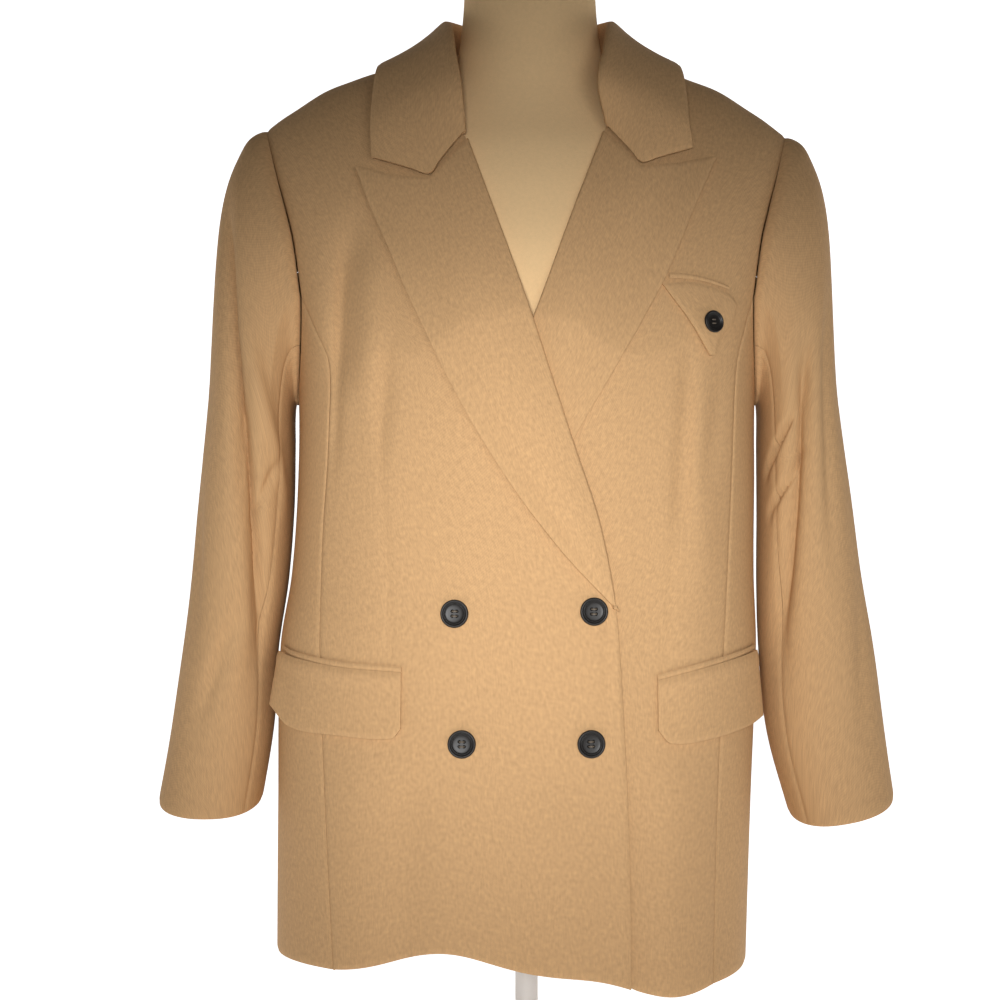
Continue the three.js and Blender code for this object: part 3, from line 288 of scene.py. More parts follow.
class Body:
    """The surface that the whole blazer lies on."""

    RINGS = Table(
        ("z", "half", "front", "back", "shift"),
        (
            (90, 207, 167, 165, -14),
            (250, 209, 165, 163, -11),
            (385, 210.5, 160, 157, -7.5),
            (450, 204.5, 157, 148, -3.5),
            (530, 202, 157, 142, -0.5),
            (610, 202, 161, 145, 0),
            (690, 209, 160, 150, 0),
            (760, 223, 150, 151, 0),
            (850, 243, 136, 142, 0),
            (950, 260, 120, 130, 0),
        ),
    )
    RIDGE = Table(
        ("x", "z", "y", "round"),
        (
            (0, 945, 12, 1),
            (45, 932, 12, 1),
            (77, 911, 11, 1),
            (105, 902, 10, 0.98),
            (130, 896, 9, 0.93),
            (150, 889, 8, 0.86),
            (175, 879, 7, 0.74),
            (200, 863, 6, 0.6),
            (215, 853, 5, 0.52),
            (232, 840, 4, 0.45),
            (260, 820, 4, 0.4),
        ),
    )
    ROUND = {Face.FRONT: 270.0, Face.BACK: 240.0}
    POWER = {Face.FRONT: 2.35, Face.BACK: 2.6}
    FLATNESS = 0.3
    RIDGE_SHIFT = -4.0

    def ridge(self, x: Number, column: str = "z") -> Array:
        """Reads the shoulder ridge over x."""
        return self.RIDGE.read(column, np.abs(np.asarray(x) - self.RIDGE_SHIFT))

    def ring(self, z: Number, column: str) -> Array:
        """Reads a body ring at a height."""
        return self.RINGS.read(column, z)

    def depth_column(self, face: Face) -> str:
        """The ring column of a face."""
        return "front" if face == Face.FRONT else "back"

    def height_at(self, face: Face, x: Number, psi: Number) -> Array:
        """Height at psi, which runs down from the ridge: a quarter turn, then straight down."""
        fall = np.where(psi < QUARTER, 1 - np.cos(np.minimum(psi, QUARTER)), 1 + psi - QUARTER)
        return self.ridge(x) - self.ROUND[face] * self.ridge(x, "round") * fall

    def psi_at(self, face: Face, x: Number, z: Number) -> Array:
        """The turn down from the ridge at which a height is reached."""
        fall = (self.ridge(x) - z) / (self.ROUND[face] * self.ridge(x, "round"))
        return np.where(fall < 1, np.arccos(1 - np.clip(fall, 0, 1)), QUARTER + fall - 1)

    def cap(self, psi: Number) -> Array:
        """Share of the full depth that is reached at psi."""
        return np.where(psi < QUARTER, np.sin(psi) * (1 - self.FLATNESS * np.cos(psi)), 1.0)

    def fold_lift(self, face: Face, x: Array, z: Array) -> Array:
        """Sum of the soft folds: a bell across each one, faded at both ends, and a faint ripple."""
        lift = (
            0.5 * np.sin(x / 23 + z / 61) * np.sin(z / 47 - x / 90)
            + 0.35 * np.sin(x / 11 - z / 83)
        )
        for fold in FOLDS:
            if fold.face != face:
                continue
            t = np.clip((fold.top[1] - z) / (fold.top[1] - fold.foot[1]), 0, 1)
            away = x - mix(fold.top[0], fold.foot[0], t)
            fade = (
                ease(fold.top[1], fold.top[1] - fold.fade, z)
                * ease(fold.foot[1], fold.foot[1] + fold.fade, z)
            )
            lift = lift + fold.depth * bell(away, fold.width) * fade
        return lift

    def point(self, face: Face, x: Array, psi: Array) -> Array:
        """A point of the surface: a rounded shoulder above rings that are squared ovals."""
        x, psi = np.broadcast_arrays(np.asarray(x, float), np.asarray(psi, float))
        z = self.height_at(face, x, psi)
        out = np.clip(np.abs(x - self.ring(z, "shift")) / self.ring(z, "half"), 0, 1)
        power = self.POWER[face]
        depth = self.ring(z, self.depth_column(face)) * (1 - out**power) ** (1 / power)
        y = mix(self.ridge(x, "y"), face * (depth + self.fold_lift(face, x, z)), self.cap(psi))
        return np.stack([x, y, z], axis=-1)

    def on(self, face: Face, x: Array, psi: Array) -> tuple[Array, Array]:
        """Points and outward normals of the surface.

        Args:
            face: Front or back.
            x: Places across.
            psi: Turns down from the ridge.

        Returns:
            The points and their normals.
        """
        step, reach = 0.002, 0.4
        point = self.point(face, x, psi)
        across = self.point(face, x + reach, psi) - self.point(face, x - reach, psi)
        down = self.point(face, x, psi + step) - self.point(face, x, psi - step)
        normal = unit(np.cross(across, down)) * int(face)
        flip = (normal[..., 1] * face < 0) & (normal[..., 2] < 0.5)
        return point, np.where(flip[..., None], -normal, normal)

    def on_front(self, places: Array) -> tuple[Array, Array]:
        """Points and normals of the front at [x, z] places."""
        x, z = places[..., 0], places[..., 1]
        return self.on(Face.FRONT, x, self.psi_at(Face.FRONT, x, z))

    def side_point(self, side: Side, angle: Array, z: Array) -> Array:
        """A point by its angle round the body: 0 in front, a quarter turn at the side, half behind."""
        angle, z = np.broadcast_arrays(np.asarray(angle, float), np.asarray(z, float))
        halves = []
        for face in Face:
            power = self.POWER[face]
            x = (
                self.ring(z, "shift")
                + side * self.ring(z, "half") * np.abs(np.sin(angle)) ** (2 / power)
            )
            depth = self.ring(z, self.depth_column(face)) * np.abs(np.cos(angle)) ** (2 / power)
            cap = self.cap(self.psi_at(face, x, z))
            y = mix(self.ridge(x, "y"), face * (depth + self.fold_lift(face, x, z)), cap)
            halves.append(np.stack([x, y, z], axis=-1))
        return np.where((angle < QUARTER)[..., None], halves[0], halves[1])

    def on_side(self, side: Side, angle: Array, z: Array) -> tuple[Array, Array]:
        """Points and outward normals by angle and height."""
        turn, reach = 0.01, 1.0
        around = self.side_point(side, angle + turn, z) - self.side_point(side, angle - turn, z)
        up = self.side_point(side, angle, z + reach) - self.side_point(side, angle, z - reach)
        normal = unit(np.cross(around, up)) * int(side)
        normal = np.where((normal[..., 0] * side < 0)[..., None], -normal, normal)
        return self.side_point(side, angle, z), normal

    def angle_at(self, face: Face, from_middle: Array, z: Array) -> Array:
        """The angle at which a ring is a given distance from the middle of the body."""
        sine = np.clip(from_middle / self.ring(z, "half"), 0, 1) ** (self.POWER[face] / 2)
        return np.arcsin(sine) if face == Face.FRONT else math.pi - np.arcsin(sine)


BODY = Body()


# ---- Meshes ----
def origin_shift() -> Array:
    """Where the pole's axis stands in the part's frame, in millimetres."""
    low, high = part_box("stand_base")
    return np.array([(low[0] + high[0]) / 2, (low[1] + high[1]) / 2, 0.0]) / MM


def make_object(name: str, points: Array, quads: Array, uv: Array | None = None) -> bpy.types.Object:
    """Makes a mesh object at the origin.

    Args:
        name: The object's name.
        points: Vertices in millimetres, measured from the pole.
        quads: Four vertex numbers for each face.
        uv: Cloth coordinates in metres for each vertex.

    Returns:
        The linked object, its faces turned outwards.
    """
    corners = points[quads]
    volume = np.sum(corners[:, 0] * np.cross(corners[:, 1], corners[:, 2]))
    volume += np.sum(corners[:, 0] * np.cross(corners[:, 2], corners[:, 3]))
    if volume < 0:
        quads = quads[:, ::-1]
    name = f"{name.replace(' ', '_')}_piece"
    mesh = bpy.data.meshes.new(name)
    mesh.vertices.add(len(points))
    mesh.vertices.foreach_set("co", ((points + origin_shift()) * MM).astype(np.float32).ravel())
    mesh.loops.add(quads.size)
    mesh.loops.foreach_set("vertex_index", quads.astype(np.int32).ravel())
    mesh.polygons.add(len(quads))
    mesh.polygons.foreach_set("loop_start", np.arange(0, quads.size, 4, dtype=np.int32))
    mesh.update(calc_edges=True)
    if uv is not None:
        layer = mesh.uv_layers.new(name="cloth")
        layer.data.foreach_set("uv", uv[quads.ravel()].astype(np.float32).ravel())
    mesh.shade_smooth()
    mesh.set_sharp_from_angle(angle=math.radians(48))
    made = bpy.data.objects.new(name, mesh)
    bpy.context.scene.collection.objects.link(made)
    return made


def grid_quads(rows: int, columns: int, first: int = 0) -> Array:
    """Faces of a grid of vertices, counted from its first one."""
    ids = first + np.arange(rows * columns).reshape(rows, columns)
    return np.stack([ids[:-1, :-1], ids[:-1, 1:], ids[1:, 1:], ids[1:, :-1]], axis=-1).reshape(-1, 4)


def grid_normals(points: Array, like: Array) -> Array:
    """Normals of a grid: the cross of its two directions, turned to agree with a known direction."""
    normal = unit(np.cross(np.gradient(points, axis=1), np.gradient(points, axis=0)))
    return normal if np.sum(normal * like) >= 0 else -normal


@dataclass
class Sheet:
    """A made piece of cloth and its flat size in metres."""

    piece: bpy.types.Object
    width: float
    length: float
    area: float


def cloth_shell(name: str, outer: Array, normals: Array, thickness: float = CLOTH) -> Sheet:
    """A closed thin wall: the outer grid, the same grid moved in along its normals, and the rim.

    Args:
        name: The object's name.
        outer: The outer grid in millimetres.
        normals: Its outward normals.
        thickness: The wall.

    Returns:
        The sheet with its flat size.
    """
    rows, columns = outer.shape[:2]
    inner = outer - normals * thickness
    across = np.linalg.norm(np.diff(outer, axis=1), axis=-1)
    up = np.linalg.norm(np.diff(outer, axis=0), axis=-1)
    u = np.concatenate([np.zeros((rows, 1)), np.cumsum(across, axis=1)], axis=1)
    v = np.concatenate([np.zeros((1, columns)), np.cumsum(up, axis=0)], axis=0)
    uv = np.stack([u, v], axis=-1).reshape(-1, 2) * MM
    ids = np.arange(rows * columns).reshape(rows, columns)
    rim = np.concatenate([ids[0, :-1], ids[:-1, -1], ids[-1, :0:-1], ids[:0:-1, 0]])
    ahead = np.roll(rim, -1)
    under = rows * columns
    edge = np.stack([ahead, rim, rim + under, ahead + under], axis=-1)
    quads = np.concatenate([grid_quads(rows, columns),
                            grid_quads(rows, columns, under)[:, ::-1], edge])
    points = np.concatenate([outer.reshape(-1, 3), inner.reshape(-1, 3)])
    made = make_object(name, points, quads, np.concatenate([uv, uv]))
    cell = np.linalg.norm(np.cross(outer[1:, :-1] - outer[:-1, :-1], outer[:-1, 1:] - outer[:-1, :-1]), axis=-1)
    width = max(float(u[:, -1].max()) * MM, LEAST_CUT)
    length = max(float(v[-1].max()) * MM, LEAST_CUT)
    area = min(float(cell.sum()) * MM * MM, width * length)
    return Sheet(made, width, length, area)


def edge_fall(points: Array, depth: float, reach: float, edges: str = "uvUV") -> Array:
    """How much a panel turns down at its edges: a bell of the distance to each named edge.

    Args:
        points: The grid.
        depth: The fall at the edge.
        reach: How wide it is.
        edges: u and U for the first and last column, v and V for the first and last row.

    Returns:
        A lift, zero or negative, for each point.
    """
    fall = np.zeros(points.shape[:2])
    for letter in edges:
        axis = 1 if letter in "uU" else 0
        step = np.linalg.norm(np.diff(points, axis=axis), axis=-1)
        if letter.isupper():
            step = np.flip(step, axis)
        pad = [(0, 0), (0, 0)]
        pad[axis] = (1, 0)
        distance = np.pad(np.cumsum(step, axis=axis), pad)
        if letter.isupper():
            distance = np.flip(distance, axis)
        fall = np.maximum(fall, bell(distance, reach))
    return -depth * fall


# ---- Shared seam lines ----
HEM_LEVEL = 118.0
HEM_WAVES = ((-72.0, 20.0, 58.0), (126.0, -21.0, 52.0))  # x, rise, width
ARMPIT_HEIGHT = 603.0
SEAM_MEETS_ARMHOLE = 690.0
TIP_X = 231.0
NECK_POINT = 77.0
BACK_NECK_HEIGHT = 892.0
UNDERLAP = 5.6
SEAM_SHARE = 14 / 22  # of a panel's side, the rest being armhole
ARMHOLE = Table(("z", "x"), ((690, 196), (741, 203.5), (770, 211), (800, 220), (840, 231)))
SEAMS = Table(
    ("z", "front_right", "front_left", "back"),
    (
        (90, 149, 172, 158),
        (254, 161, 173, 160),
        (385, 170, 175, 160),
        (480, 174, 175, 152),
        (576, 170, 177, 152),
        (632, 170, 180, 160),
        (660, 182, 187, 176),
        (690, 196, 196, 196),
    ),
)


def hem_height(x: Number) -> Array:
    """Height of the front hem, which dips and rises with the folds."""
    return HEM_LEVEL + sum(rise * bell(x - at, width) for at, rise, width in HEM_WAVES)


def back_hem_height(x: Number) -> Array:
    """Height of the back hem."""
    return HEM_LEVEL + 3 + 4 * np.sin(np.asarray(x) / 55)


def seam_x(face: Face, side: Side, z: Number) -> Array:
    """Where the lengthwise seam lies at a height."""
    column = "back" if face == Face.BACK else ("front_right" if side == Side.RIGHT else "front_left")
    return BODY.ring(z, "shift") + side * SEAMS.read(column, z)


def seam_height(face: Face, side: Side, t: Array) -> Array:
    """Height on the lengthwise seam, from the hem at 0 to the armhole at 1."""
    x = seam_x(face, side, HEM_LEVEL)
    hem = hem_height(x) if face == Face.FRONT else back_hem_height(x)
    return mix(hem, SEAM_MEETS_ARMHOLE, t)


def armhole_place(face: Face, side: Side, t: Array) -> tuple[Array, Array]:
    """x and psi on the armhole, from its foot at 0 to the shoulder tip at 1."""
    foot_x = side * ARMHOLE.read("x", SEAM_MEETS_ARMHOLE)
    psi = BODY.psi_at(face, foot_x, SEAM_MEETS_ARMHOLE) * (1 - t)
    z = mix(SEAM_MEETS_ARMHOLE, BODY.ridge(side * TIP_X), t)
    for _ in range(12):
        z = BODY.height_at(face, side * ARMHOLE.read("x", z), psi)
    return side * ARMHOLE.read("x", z), psi


def panel_side(face: Face, side: Side, v: Array) -> Array:
    """The far edge of a panel as [x, psi]: up its seam, then up its armhole."""
    z = seam_height(face, side, np.clip(v / SEAM_SHARE, 0, 1))
    x = seam_x(face, side, z)
    arm_x, arm_psi = armhole_place(face, side, np.clip((v - SEAM_SHARE) / (1 - SEAM_SHARE), 0, 1))
    on_seam = v < SEAM_SHARE
    half_gap = side * SEAM / 2
    return np.stack(
        [np.where(on_seam, x, arm_x) - half_gap, np.where(on_seam, BODY.psi_at(face, x, z), arm_psi)], axis=-1
    )


def under_lift(side: Side, x: Array, z: Array) -> Array:
    """How far a front lies behind the body surface: the under front passes behind the top one."""
    if side == Side.RIGHT:
        return np.zeros_like(x)
    return -UNDERLAP * (1 - ease(92, 150, x)) * (1 - ease(680, 790, z))


def low_armhole(t: Array) -> tuple[Array, Array]:
    """Angle and height of the armhole on the side panel, from the front seam to the back seam."""
    z = mix(ARMPIT_HEIGHT, SEAM_MEETS_ARMHOLE, np.abs(2 * t - 1) ** 2.2)
    meet = ARMHOLE.read("x", SEAM_MEETS_ARMHOLE)
    start = BODY.angle_at(Face.FRONT, meet, SEAM_MEETS_ARMHOLE)
    end = BODY.angle_at(Face.BACK, meet, SEAM_MEETS_ARMHOLE)
    return mix(start, end, t), z


# ---- Panels ----
@dataclass
class Panels:
    """The fronts, backs and side panels."""

    rows: int = 190
    columns: int = 62
    seam_depth: float = 0.9
    seam_reach: float = 1.9
    crease_x: float = 66.5
    lip_x: float = 74.0

    LOW_EDGE = {Side.RIGHT: (86.0, 79.0), Side.LEFT: (-84.0, -80.0)}
    BREAK = {Side.RIGHT: (73.5, 422.0), Side.LEFT: (-82.0, 422.0)}
    BOW = {Side.RIGHT: 7.0, Side.LEFT: 2.0}
    GORGE = {Side.RIGHT: (-52.5, 825.0), Side.LEFT: (67.0, 833.0)}
    EDGE_SHARE = 7 / 22
    ROLL_SHARE = 17 / 22

    def front_edge(self, side: Side, v: Array) -> Array:
        """The near edge of a front as [x, psi]: the closing edge, the roll line and the neck."""
        low, brake, gorge, neck = self.LOW_EDGE[side], self.BREAK[side], self.GORGE[side], side * NECK_POINT
        hem = hem_height(low[0]) + (4 if side == Side.LEFT else 0)
        t = np.clip(v / self.EDGE_SHARE, 0, 1)
        edge = mix(low[0], brake[0], t**2), mix(hem, brake[1], t)
        t = np.clip((v - self.EDGE_SHARE) / (self.ROLL_SHARE - self.EDGE_SHARE), 0, 1)
        bow = side * self.BOW[side] * np.sin(math.pi * t)
        roll = mix(brake[0], gorge[0], t) - bow, mix(brake[1], gorge[1], t)
        t = np.clip((v - self.ROLL_SHARE) / (1 - self.ROLL_SHARE), 0, 1)
        throat = mix(gorge[0], neck, t * (2 - t)), mix(gorge[1], BODY.ridge(neck), t)
        choose = [v < self.EDGE_SHARE, v < self.ROLL_SHARE]
        x = np.select(choose, [edge[0], roll[0]], throat[0])
        z = np.select(choose, [edge[1], roll[1]], throat[1])
        return np.stack([x, BODY.psi_at(Face.FRONT, x, z)], axis=-1)

    def closing(self, side: Side, x: Array, z: Array) -> Array:
        """The top front's pressed crease by its edge, with a raised lip outside it."""
        if side == Side.LEFT:
            return np.zeros_like(x)
        fade = ease(250, 380, z) * (1 - ease(412, 424, z))
        crease = -1.5 * bell(x - self.crease_x, 1.8) * ease(330, 390, z)
        return fade * (crease - 1.0 * bell(x - self.crease_x, 6) + 1.1 * bell(x - self.lip_x, 5))

    def front(self, side: Side, name: str) -> Sheet:
        """One front, from its closing edge to its seam and armhole."""
        u, v = spread(self.columns), spread(self.rows, (0.0015, 0.004))
        start, end = self.front_edge(side, v), panel_side(Face.FRONT, side, v)
        x = mix(start[0, 0], end[0, 0], u)
        tuck = 4 * (1 - ease(70, 95, x)) if side == Side.LEFT else 0
        bottom = np.stack([x, BODY.psi_at(Face.FRONT, x, hem_height(x) + tuck)], axis=-1)
        top = np.stack([mix(start[-1, 0], end[-1, 0], u), 0 * u], axis=-1)
        bottom[0], bottom[-1] = start[0], end[0]
        places = coons(bottom, top, start, end, u, v)
        points, normals = BODY.on(Face.FRONT, places[..., 0], places[..., 1])
        lift = (
            under_lift(side, points[..., 0], points[..., 2])
            + self.closing(side, points[..., 0], points[..., 2])
        )
        lift = lift + edge_fall(points, self.seam_depth, self.seam_reach, "uUvV")
        outer = points + normals * lift[..., None]
        return cloth_shell(name, outer, grid_normals(outer, normals))

    def back(self, side: Side, name: str) -> Sheet:
        """One back, from the centre back seam to the side seam and armhole."""
        u, v = spread(self.columns), spread(self.rows, (0.0015, 0.004))
        end = panel_side(Face.BACK, side, v)
        middle, neck = side * SEAM / 2, side * NECK_POINT
        neck_psi = BODY.psi_at(Face.BACK, middle, BACK_NECK_HEIGHT)
        hem_psi = BODY.psi_at(Face.BACK, middle, back_hem_height(middle))
        start = np.stack([np.full_like(v, middle), mix(hem_psi, neck_psi, v)], axis=-1)
        x = mix(middle, end[0, 0], u)
        bottom = np.stack([x, BODY.psi_at(Face.BACK, x, back_hem_height(x))], axis=-1)
        neck_share = 3 / 8
        on_neck = np.clip(u / neck_share, 0, 1)
        beyond = np.clip((u - neck_share) / (1 - neck_share), 0, 1)
        top_x = np.where(u < neck_share, mix(middle, neck, on_neck), mix(neck, end[-1, 0], beyond))
        top = np.stack([top_x, neck_psi * (1 - on_neck**3.2)], axis=-1)
        bottom[0], bottom[-1] = start[0], end[0]
        places = coons(bottom, top, start, end, u, v)
        points, normals = BODY.on(Face.BACK, places[..., 0], places[..., 1])
        lift = edge_fall(points, self.seam_depth, self.seam_reach, "uUvV")
        outer = points + normals * lift[..., None]
        return cloth_shell(name, outer, grid_normals(outer, normals))

    def side(self, side: Side, name: str) -> Sheet:
        """The side panel between a front and a back, up to the armhole."""
        u, v = spread(self.columns // 2), spread(self.rows // 2, (0.002, 0.006))
        edges = []
        for face in Face:
            z = seam_height(face, side, v)
            from_middle = np.abs(seam_x(face, side, z) - BODY.ring(z, "shift")) + SEAM / 2
            edges.append(np.stack([BODY.angle_at(face, from_middle, z), z], axis=-1))
        start, end = edges
        bottom = mix(start[0], end[0], u[:, None])
        top = np.stack(low_armhole(u), axis=-1)
        top[0], top[-1] = start[-1], end[-1]
        places = coons(bottom, top, start, end, u, v)
        points, normals = BODY.on_side(side, places[..., 0], places[..., 1])
        lift = edge_fall(points, self.seam_depth, self.seam_reach, "uUvV")
        outer = points + normals * lift[..., None]
        return cloth_shell(name, outer, grid_normals(outer, normals))


# ---- Sleeves ----
@dataclass(frozen=True)
class Crease:
    """A lengthwise crease of a sleeve, by its turn and height at the top and the foot."""

    top: tuple[float, float]
    foot: tuple[float, float]
    depth: float
    width: float
    fade: float = 90.0


@dataclass
class Sleeves:
    """The two-part sleeves: a round cap that leaves the armhole, then a hanging tube."""

    turns: int = 216
    rows: int = 170
    front_seam: float = 9 / 24
    back_seam: float = 17 / 24
    squareness: float = 2.25

    TUBES = {
        Side.RIGHT: Table(
            ("level", "outer", "inner", "front", "back", "lean", "drop"),
            (
                (251, 327, 235, -52, 55, 0, 0.27),
                (320, 315, 224.5, -55, 63, 0, 0.2),
                (385, 305, 221, -59, 71, 0.05, 0.12),
                (450, 297, 212, -62, 77, 0.1, 0.06),
                (515, 290.5, 207, -66, 81, 0.2, 0.02),
                (582, 283, 206.5, -70, 84, 0.45, 0),
            ),
        ),
        Side.LEFT: Table(
            ("level", "outer", "inner", "front", "back", "lean", "drop"),
            (
                (247, 326.5, 233, -52, 55, 0.18, 0.27),
                (320, 316, 214, -55, 63, 0.18, 0.2),
                (385, 307, 207.5, -59, 71, 0.2, 0.12),
                (450, 296, 205.5, -62, 77, 0.2, 0.06),
                (515, 287, 205.5, -66, 81, 0.25, 0.02),
                (582, 277, 206, -70, 84, 0.45, 0),
            ),
        ),
    }
    CREASES = {
        Side.RIGHT: (
            Crease((0.1, 800), (0.36, 400), -10, 0.035),
            Crease((0.105, 780), (0.37, 410), -5.5, 0.012),
            Crease((0.19, 700), (0.4, 520), 4.5, 0.03),
            Crease((0.9, 740), (0.7, 380), -7, 0.04),
            Crease((0.38, 560), (0.3, 500), -3.5, 0.016, 25),
            Crease((0.05, 560), (0.12, 420), -3.6, 0.03),
            Crease((0.28, 430), (0.2, 330), -4, 0.028, 50),
            Crease((0.6, 600), (0.56, 420), -4, 0.03),
        ),
        Side.LEFT: (
            Crease((0.22, 690), (0.37, 400), -9, 0.035),
            Crease((0.215, 680), (0.36, 420), -3.2, 0.014),
            Crease((0.12, 720), (0.2, 480), -5, 0.03),
            Crease((0.88, 760), (0.72, 420), -8, 0.04),
            Crease((0.28, 600), (0.42, 540), -6, 0.014, 25),
            Crease((0.24, 570), (0.4, 505), -5, 0.014, 25),
            Crease((0.08, 470), (0.16, 330), -3.6, 0.03),
            Crease((0.6, 600), (0.56, 420), -4, 0.03),
        ),
    }

    def ring(self, side: Side) -> tuple[Array, Array]:
        """Points and normals round the armhole: down the front, under the arm and up the back."""
        arm, low = self.turns // 3, self.turns // 3
        t = np.arange(arm, -1, -1) / arm
        front = BODY.on(Face.FRONT, *armhole_place(Face.FRONT, side, t))
        angle, z = low_armhole(np.arange(1, low) / low)
        under = BODY.on_side(side, angle, z)
        back = BODY.on(Face.BACK, *armhole_place(Face.BACK, side, np.arange(arm) / arm))
        return tuple(np.concatenate([front[k], under[k], back[k]]) for k in range(2))

    def tube(self, side: Side, level: Number, turn: Array) -> Array:
        """The hanging tube: a squared oval ring, leaning with its level."""
        table = self.TUBES[side]
        level, turn = np.broadcast_arrays(np.asarray(level, float), turn)
        get = {name: table.read(name, level) for name in table.names[1:]}
        angle = turn * 2 * math.pi
        power = 2 / self.squareness
        cosine = np.sign(np.cos(angle)) * np.abs(np.cos(angle)) ** power
        sine = np.sign(np.sin(angle)) * np.abs(np.sin(angle)) ** power
        middle, half = (get["outer"] + get["inner"]) / 2, (get["outer"] - get["inner"]) / 2
        middle_y, half_y = (get["front"] + get["back"]) / 2, (get["back"] - get["front"]) / 2
        x, y = middle + half * cosine, middle_y - half_y * sine
        z = level + get["lean"] * (x - middle) + get["drop"] * (y - middle_y)
        return np.stack([side * x, y, z], axis=-1)

    def raw(self, side: Side, starts: Array, turn: Array, t: Array) -> Array:
        """The sleeve before its creases: a cubic from the armhole at 0 to the tube at 1, then the tube."""
        levels = [row[0] for row in self.TUBES[side].rows]
        top, foot = levels[-1], levels[0]
        end, below = self.tube(side, top, turn), self.tube(side, top - 20, turn)
        upper = 0.5 + 0.5 * np.cos(turn * 2 * math.pi)
        leave = unit(
            np.stack(
                [side * mix(0.9, 0.72, upper), -0.35 * np.sin(turn * 2 * math.pi), mix(0.3, -0.3, upper)], axis=-1
            )
        )
        span = np.linalg.norm(end - starts, axis=-1)[:, None]
        first = starts + leave * mix(0.2, 0.24, upper)[:, None] * span
        second = end + unit(end - below) * 0.36 * span
        s = np.clip(t, 0, 1)[:, None, None]
        cap = (
            (1 - s) ** 3 * starts + 3 * s * (1 - s) ** 2 * first + 3 * s * s * (1 - s) * second
            + s**3 * end
        )
        hanging = self.tube(side, mix(top, foot, np.clip(t - 1, 0, 1))[:, None], turn[None])
        return np.where((t < 1)[:, None, None], cap, hanging)

    def creases(self, side: Side, turn: Array, z: Array) -> Array:
        """Sum of the creases, each a bell of the turn that follows a slanting line."""
        lift = 0.45 * np.sin(z / 37 + turn * 19) * np.sin(z / 61 - turn * 12.6)
        for crease in self.CREASES[side]:
            (top_turn, top_z), (foot_turn, foot_z) = crease.top, crease.foot
            t = np.clip((top_z - z) / (top_z - foot_z), 0, 1)
            fade = ease(top_z, top_z - crease.fade, z)
            fade = fade * ease(foot_z - crease.fade * 0.66, foot_z + crease.fade * 0.66, z)
            away = np.abs(turn - mix(top_turn, foot_turn, t))
            lift = lift + crease.depth * bell(np.minimum(away, 1 - away), crease.width) * fade
        return lift

    def grid(self, side: Side) -> tuple[Array, Array]:
        """The whole sleeve as a closed ring of lines, with normals."""
        points, ring_normals = self.ring(side)
        count = len(points)
        turn = np.arange(count) / count
        t = np.concatenate([[0, 0.004, 0.012, 0.024], np.linspace(0.04, 1.98, self.rows),
                            [1.99, 1.996, 2.0]])
        raw = self.raw(side, points, turn, t)
        wrap = np.roll(raw, -1, axis=1) - np.roll(raw, 1, axis=1)
        normals = unit(np.cross(wrap, np.gradient(raw, axis=0))) * -int(side) * -1
        outward = raw - raw.mean(axis=1, keepdims=True)
        normals = normals * np.sign(np.sum(normals * outward))
        head = np.maximum(np.cos(turn * 2 * math.pi), 0)[None, :, None] * (1 - ease(0, 0.06, t))[:, None, None]
        normals = unit(mix(normals, np.broadcast_to(ring_normals[None], raw.shape), head))
        lift = self.creases(side, turn[None], raw[..., 2]) * ease(0.12, 0.3, t)[:, None]
        roundness = 2.4 * bell(t - 0.09, 0.07)[:, None] * (0.4 + 0.6 * np.cos(turn * 2 * math.pi) ** 2)[None]
        sink = -1.3 * bell(t, 0.012)[:, None]
        return raw + normals * (lift + roundness + sink)[..., None], normals

    def part(self, name: str, points: Array, normals: Array, first: int, last: int) -> Sheet:
        """One part of the sleeve, from one lengthwise seam round to the other."""
        keep = np.arange(first, last + 1) % points.shape[1]
        outer, out = points[:, keep], normals[:, keep]
        trim = unit(outer[:, 1] - outer[:, 0]) * SEAM / 2, unit(outer[:, -2] - outer[:, -1]) * SEAM / 2
        outer = outer.copy()
        outer[:, 0] += trim[0]
        outer[:, -1] += trim[1]
        outer = outer + out * edge_fall(outer, 0.8, 2.2, "uUV")[..., None]
        return cloth_shell(name, outer, grid_normals(outer, out))

    def build(self, side: Side, word: str) -> dict[str, Sheet]:
        """Both parts of one sleeve, by node name."""
        points, normals = self.grid(side)
        count = points.shape[1]
        front, back = round(self.front_seam * count), round(self.back_seam * count)
        return {
            f"{word}_under_sleeve": self.part(f"{word} under sleeve", points, normals, front, back),
            f"{word}_upper_sleeve": self.part(f"{word} upper sleeve", points, normals, back,
                                              front + count),
        }


# ---- Lapels ----
@dataclass(frozen=True)
class LapelCut:
    """The four edges of a lapel on the front, as [x, z] lines."""

    roll: Line
    edge: Line
    top: Line
    bottom: Line
    outer: float


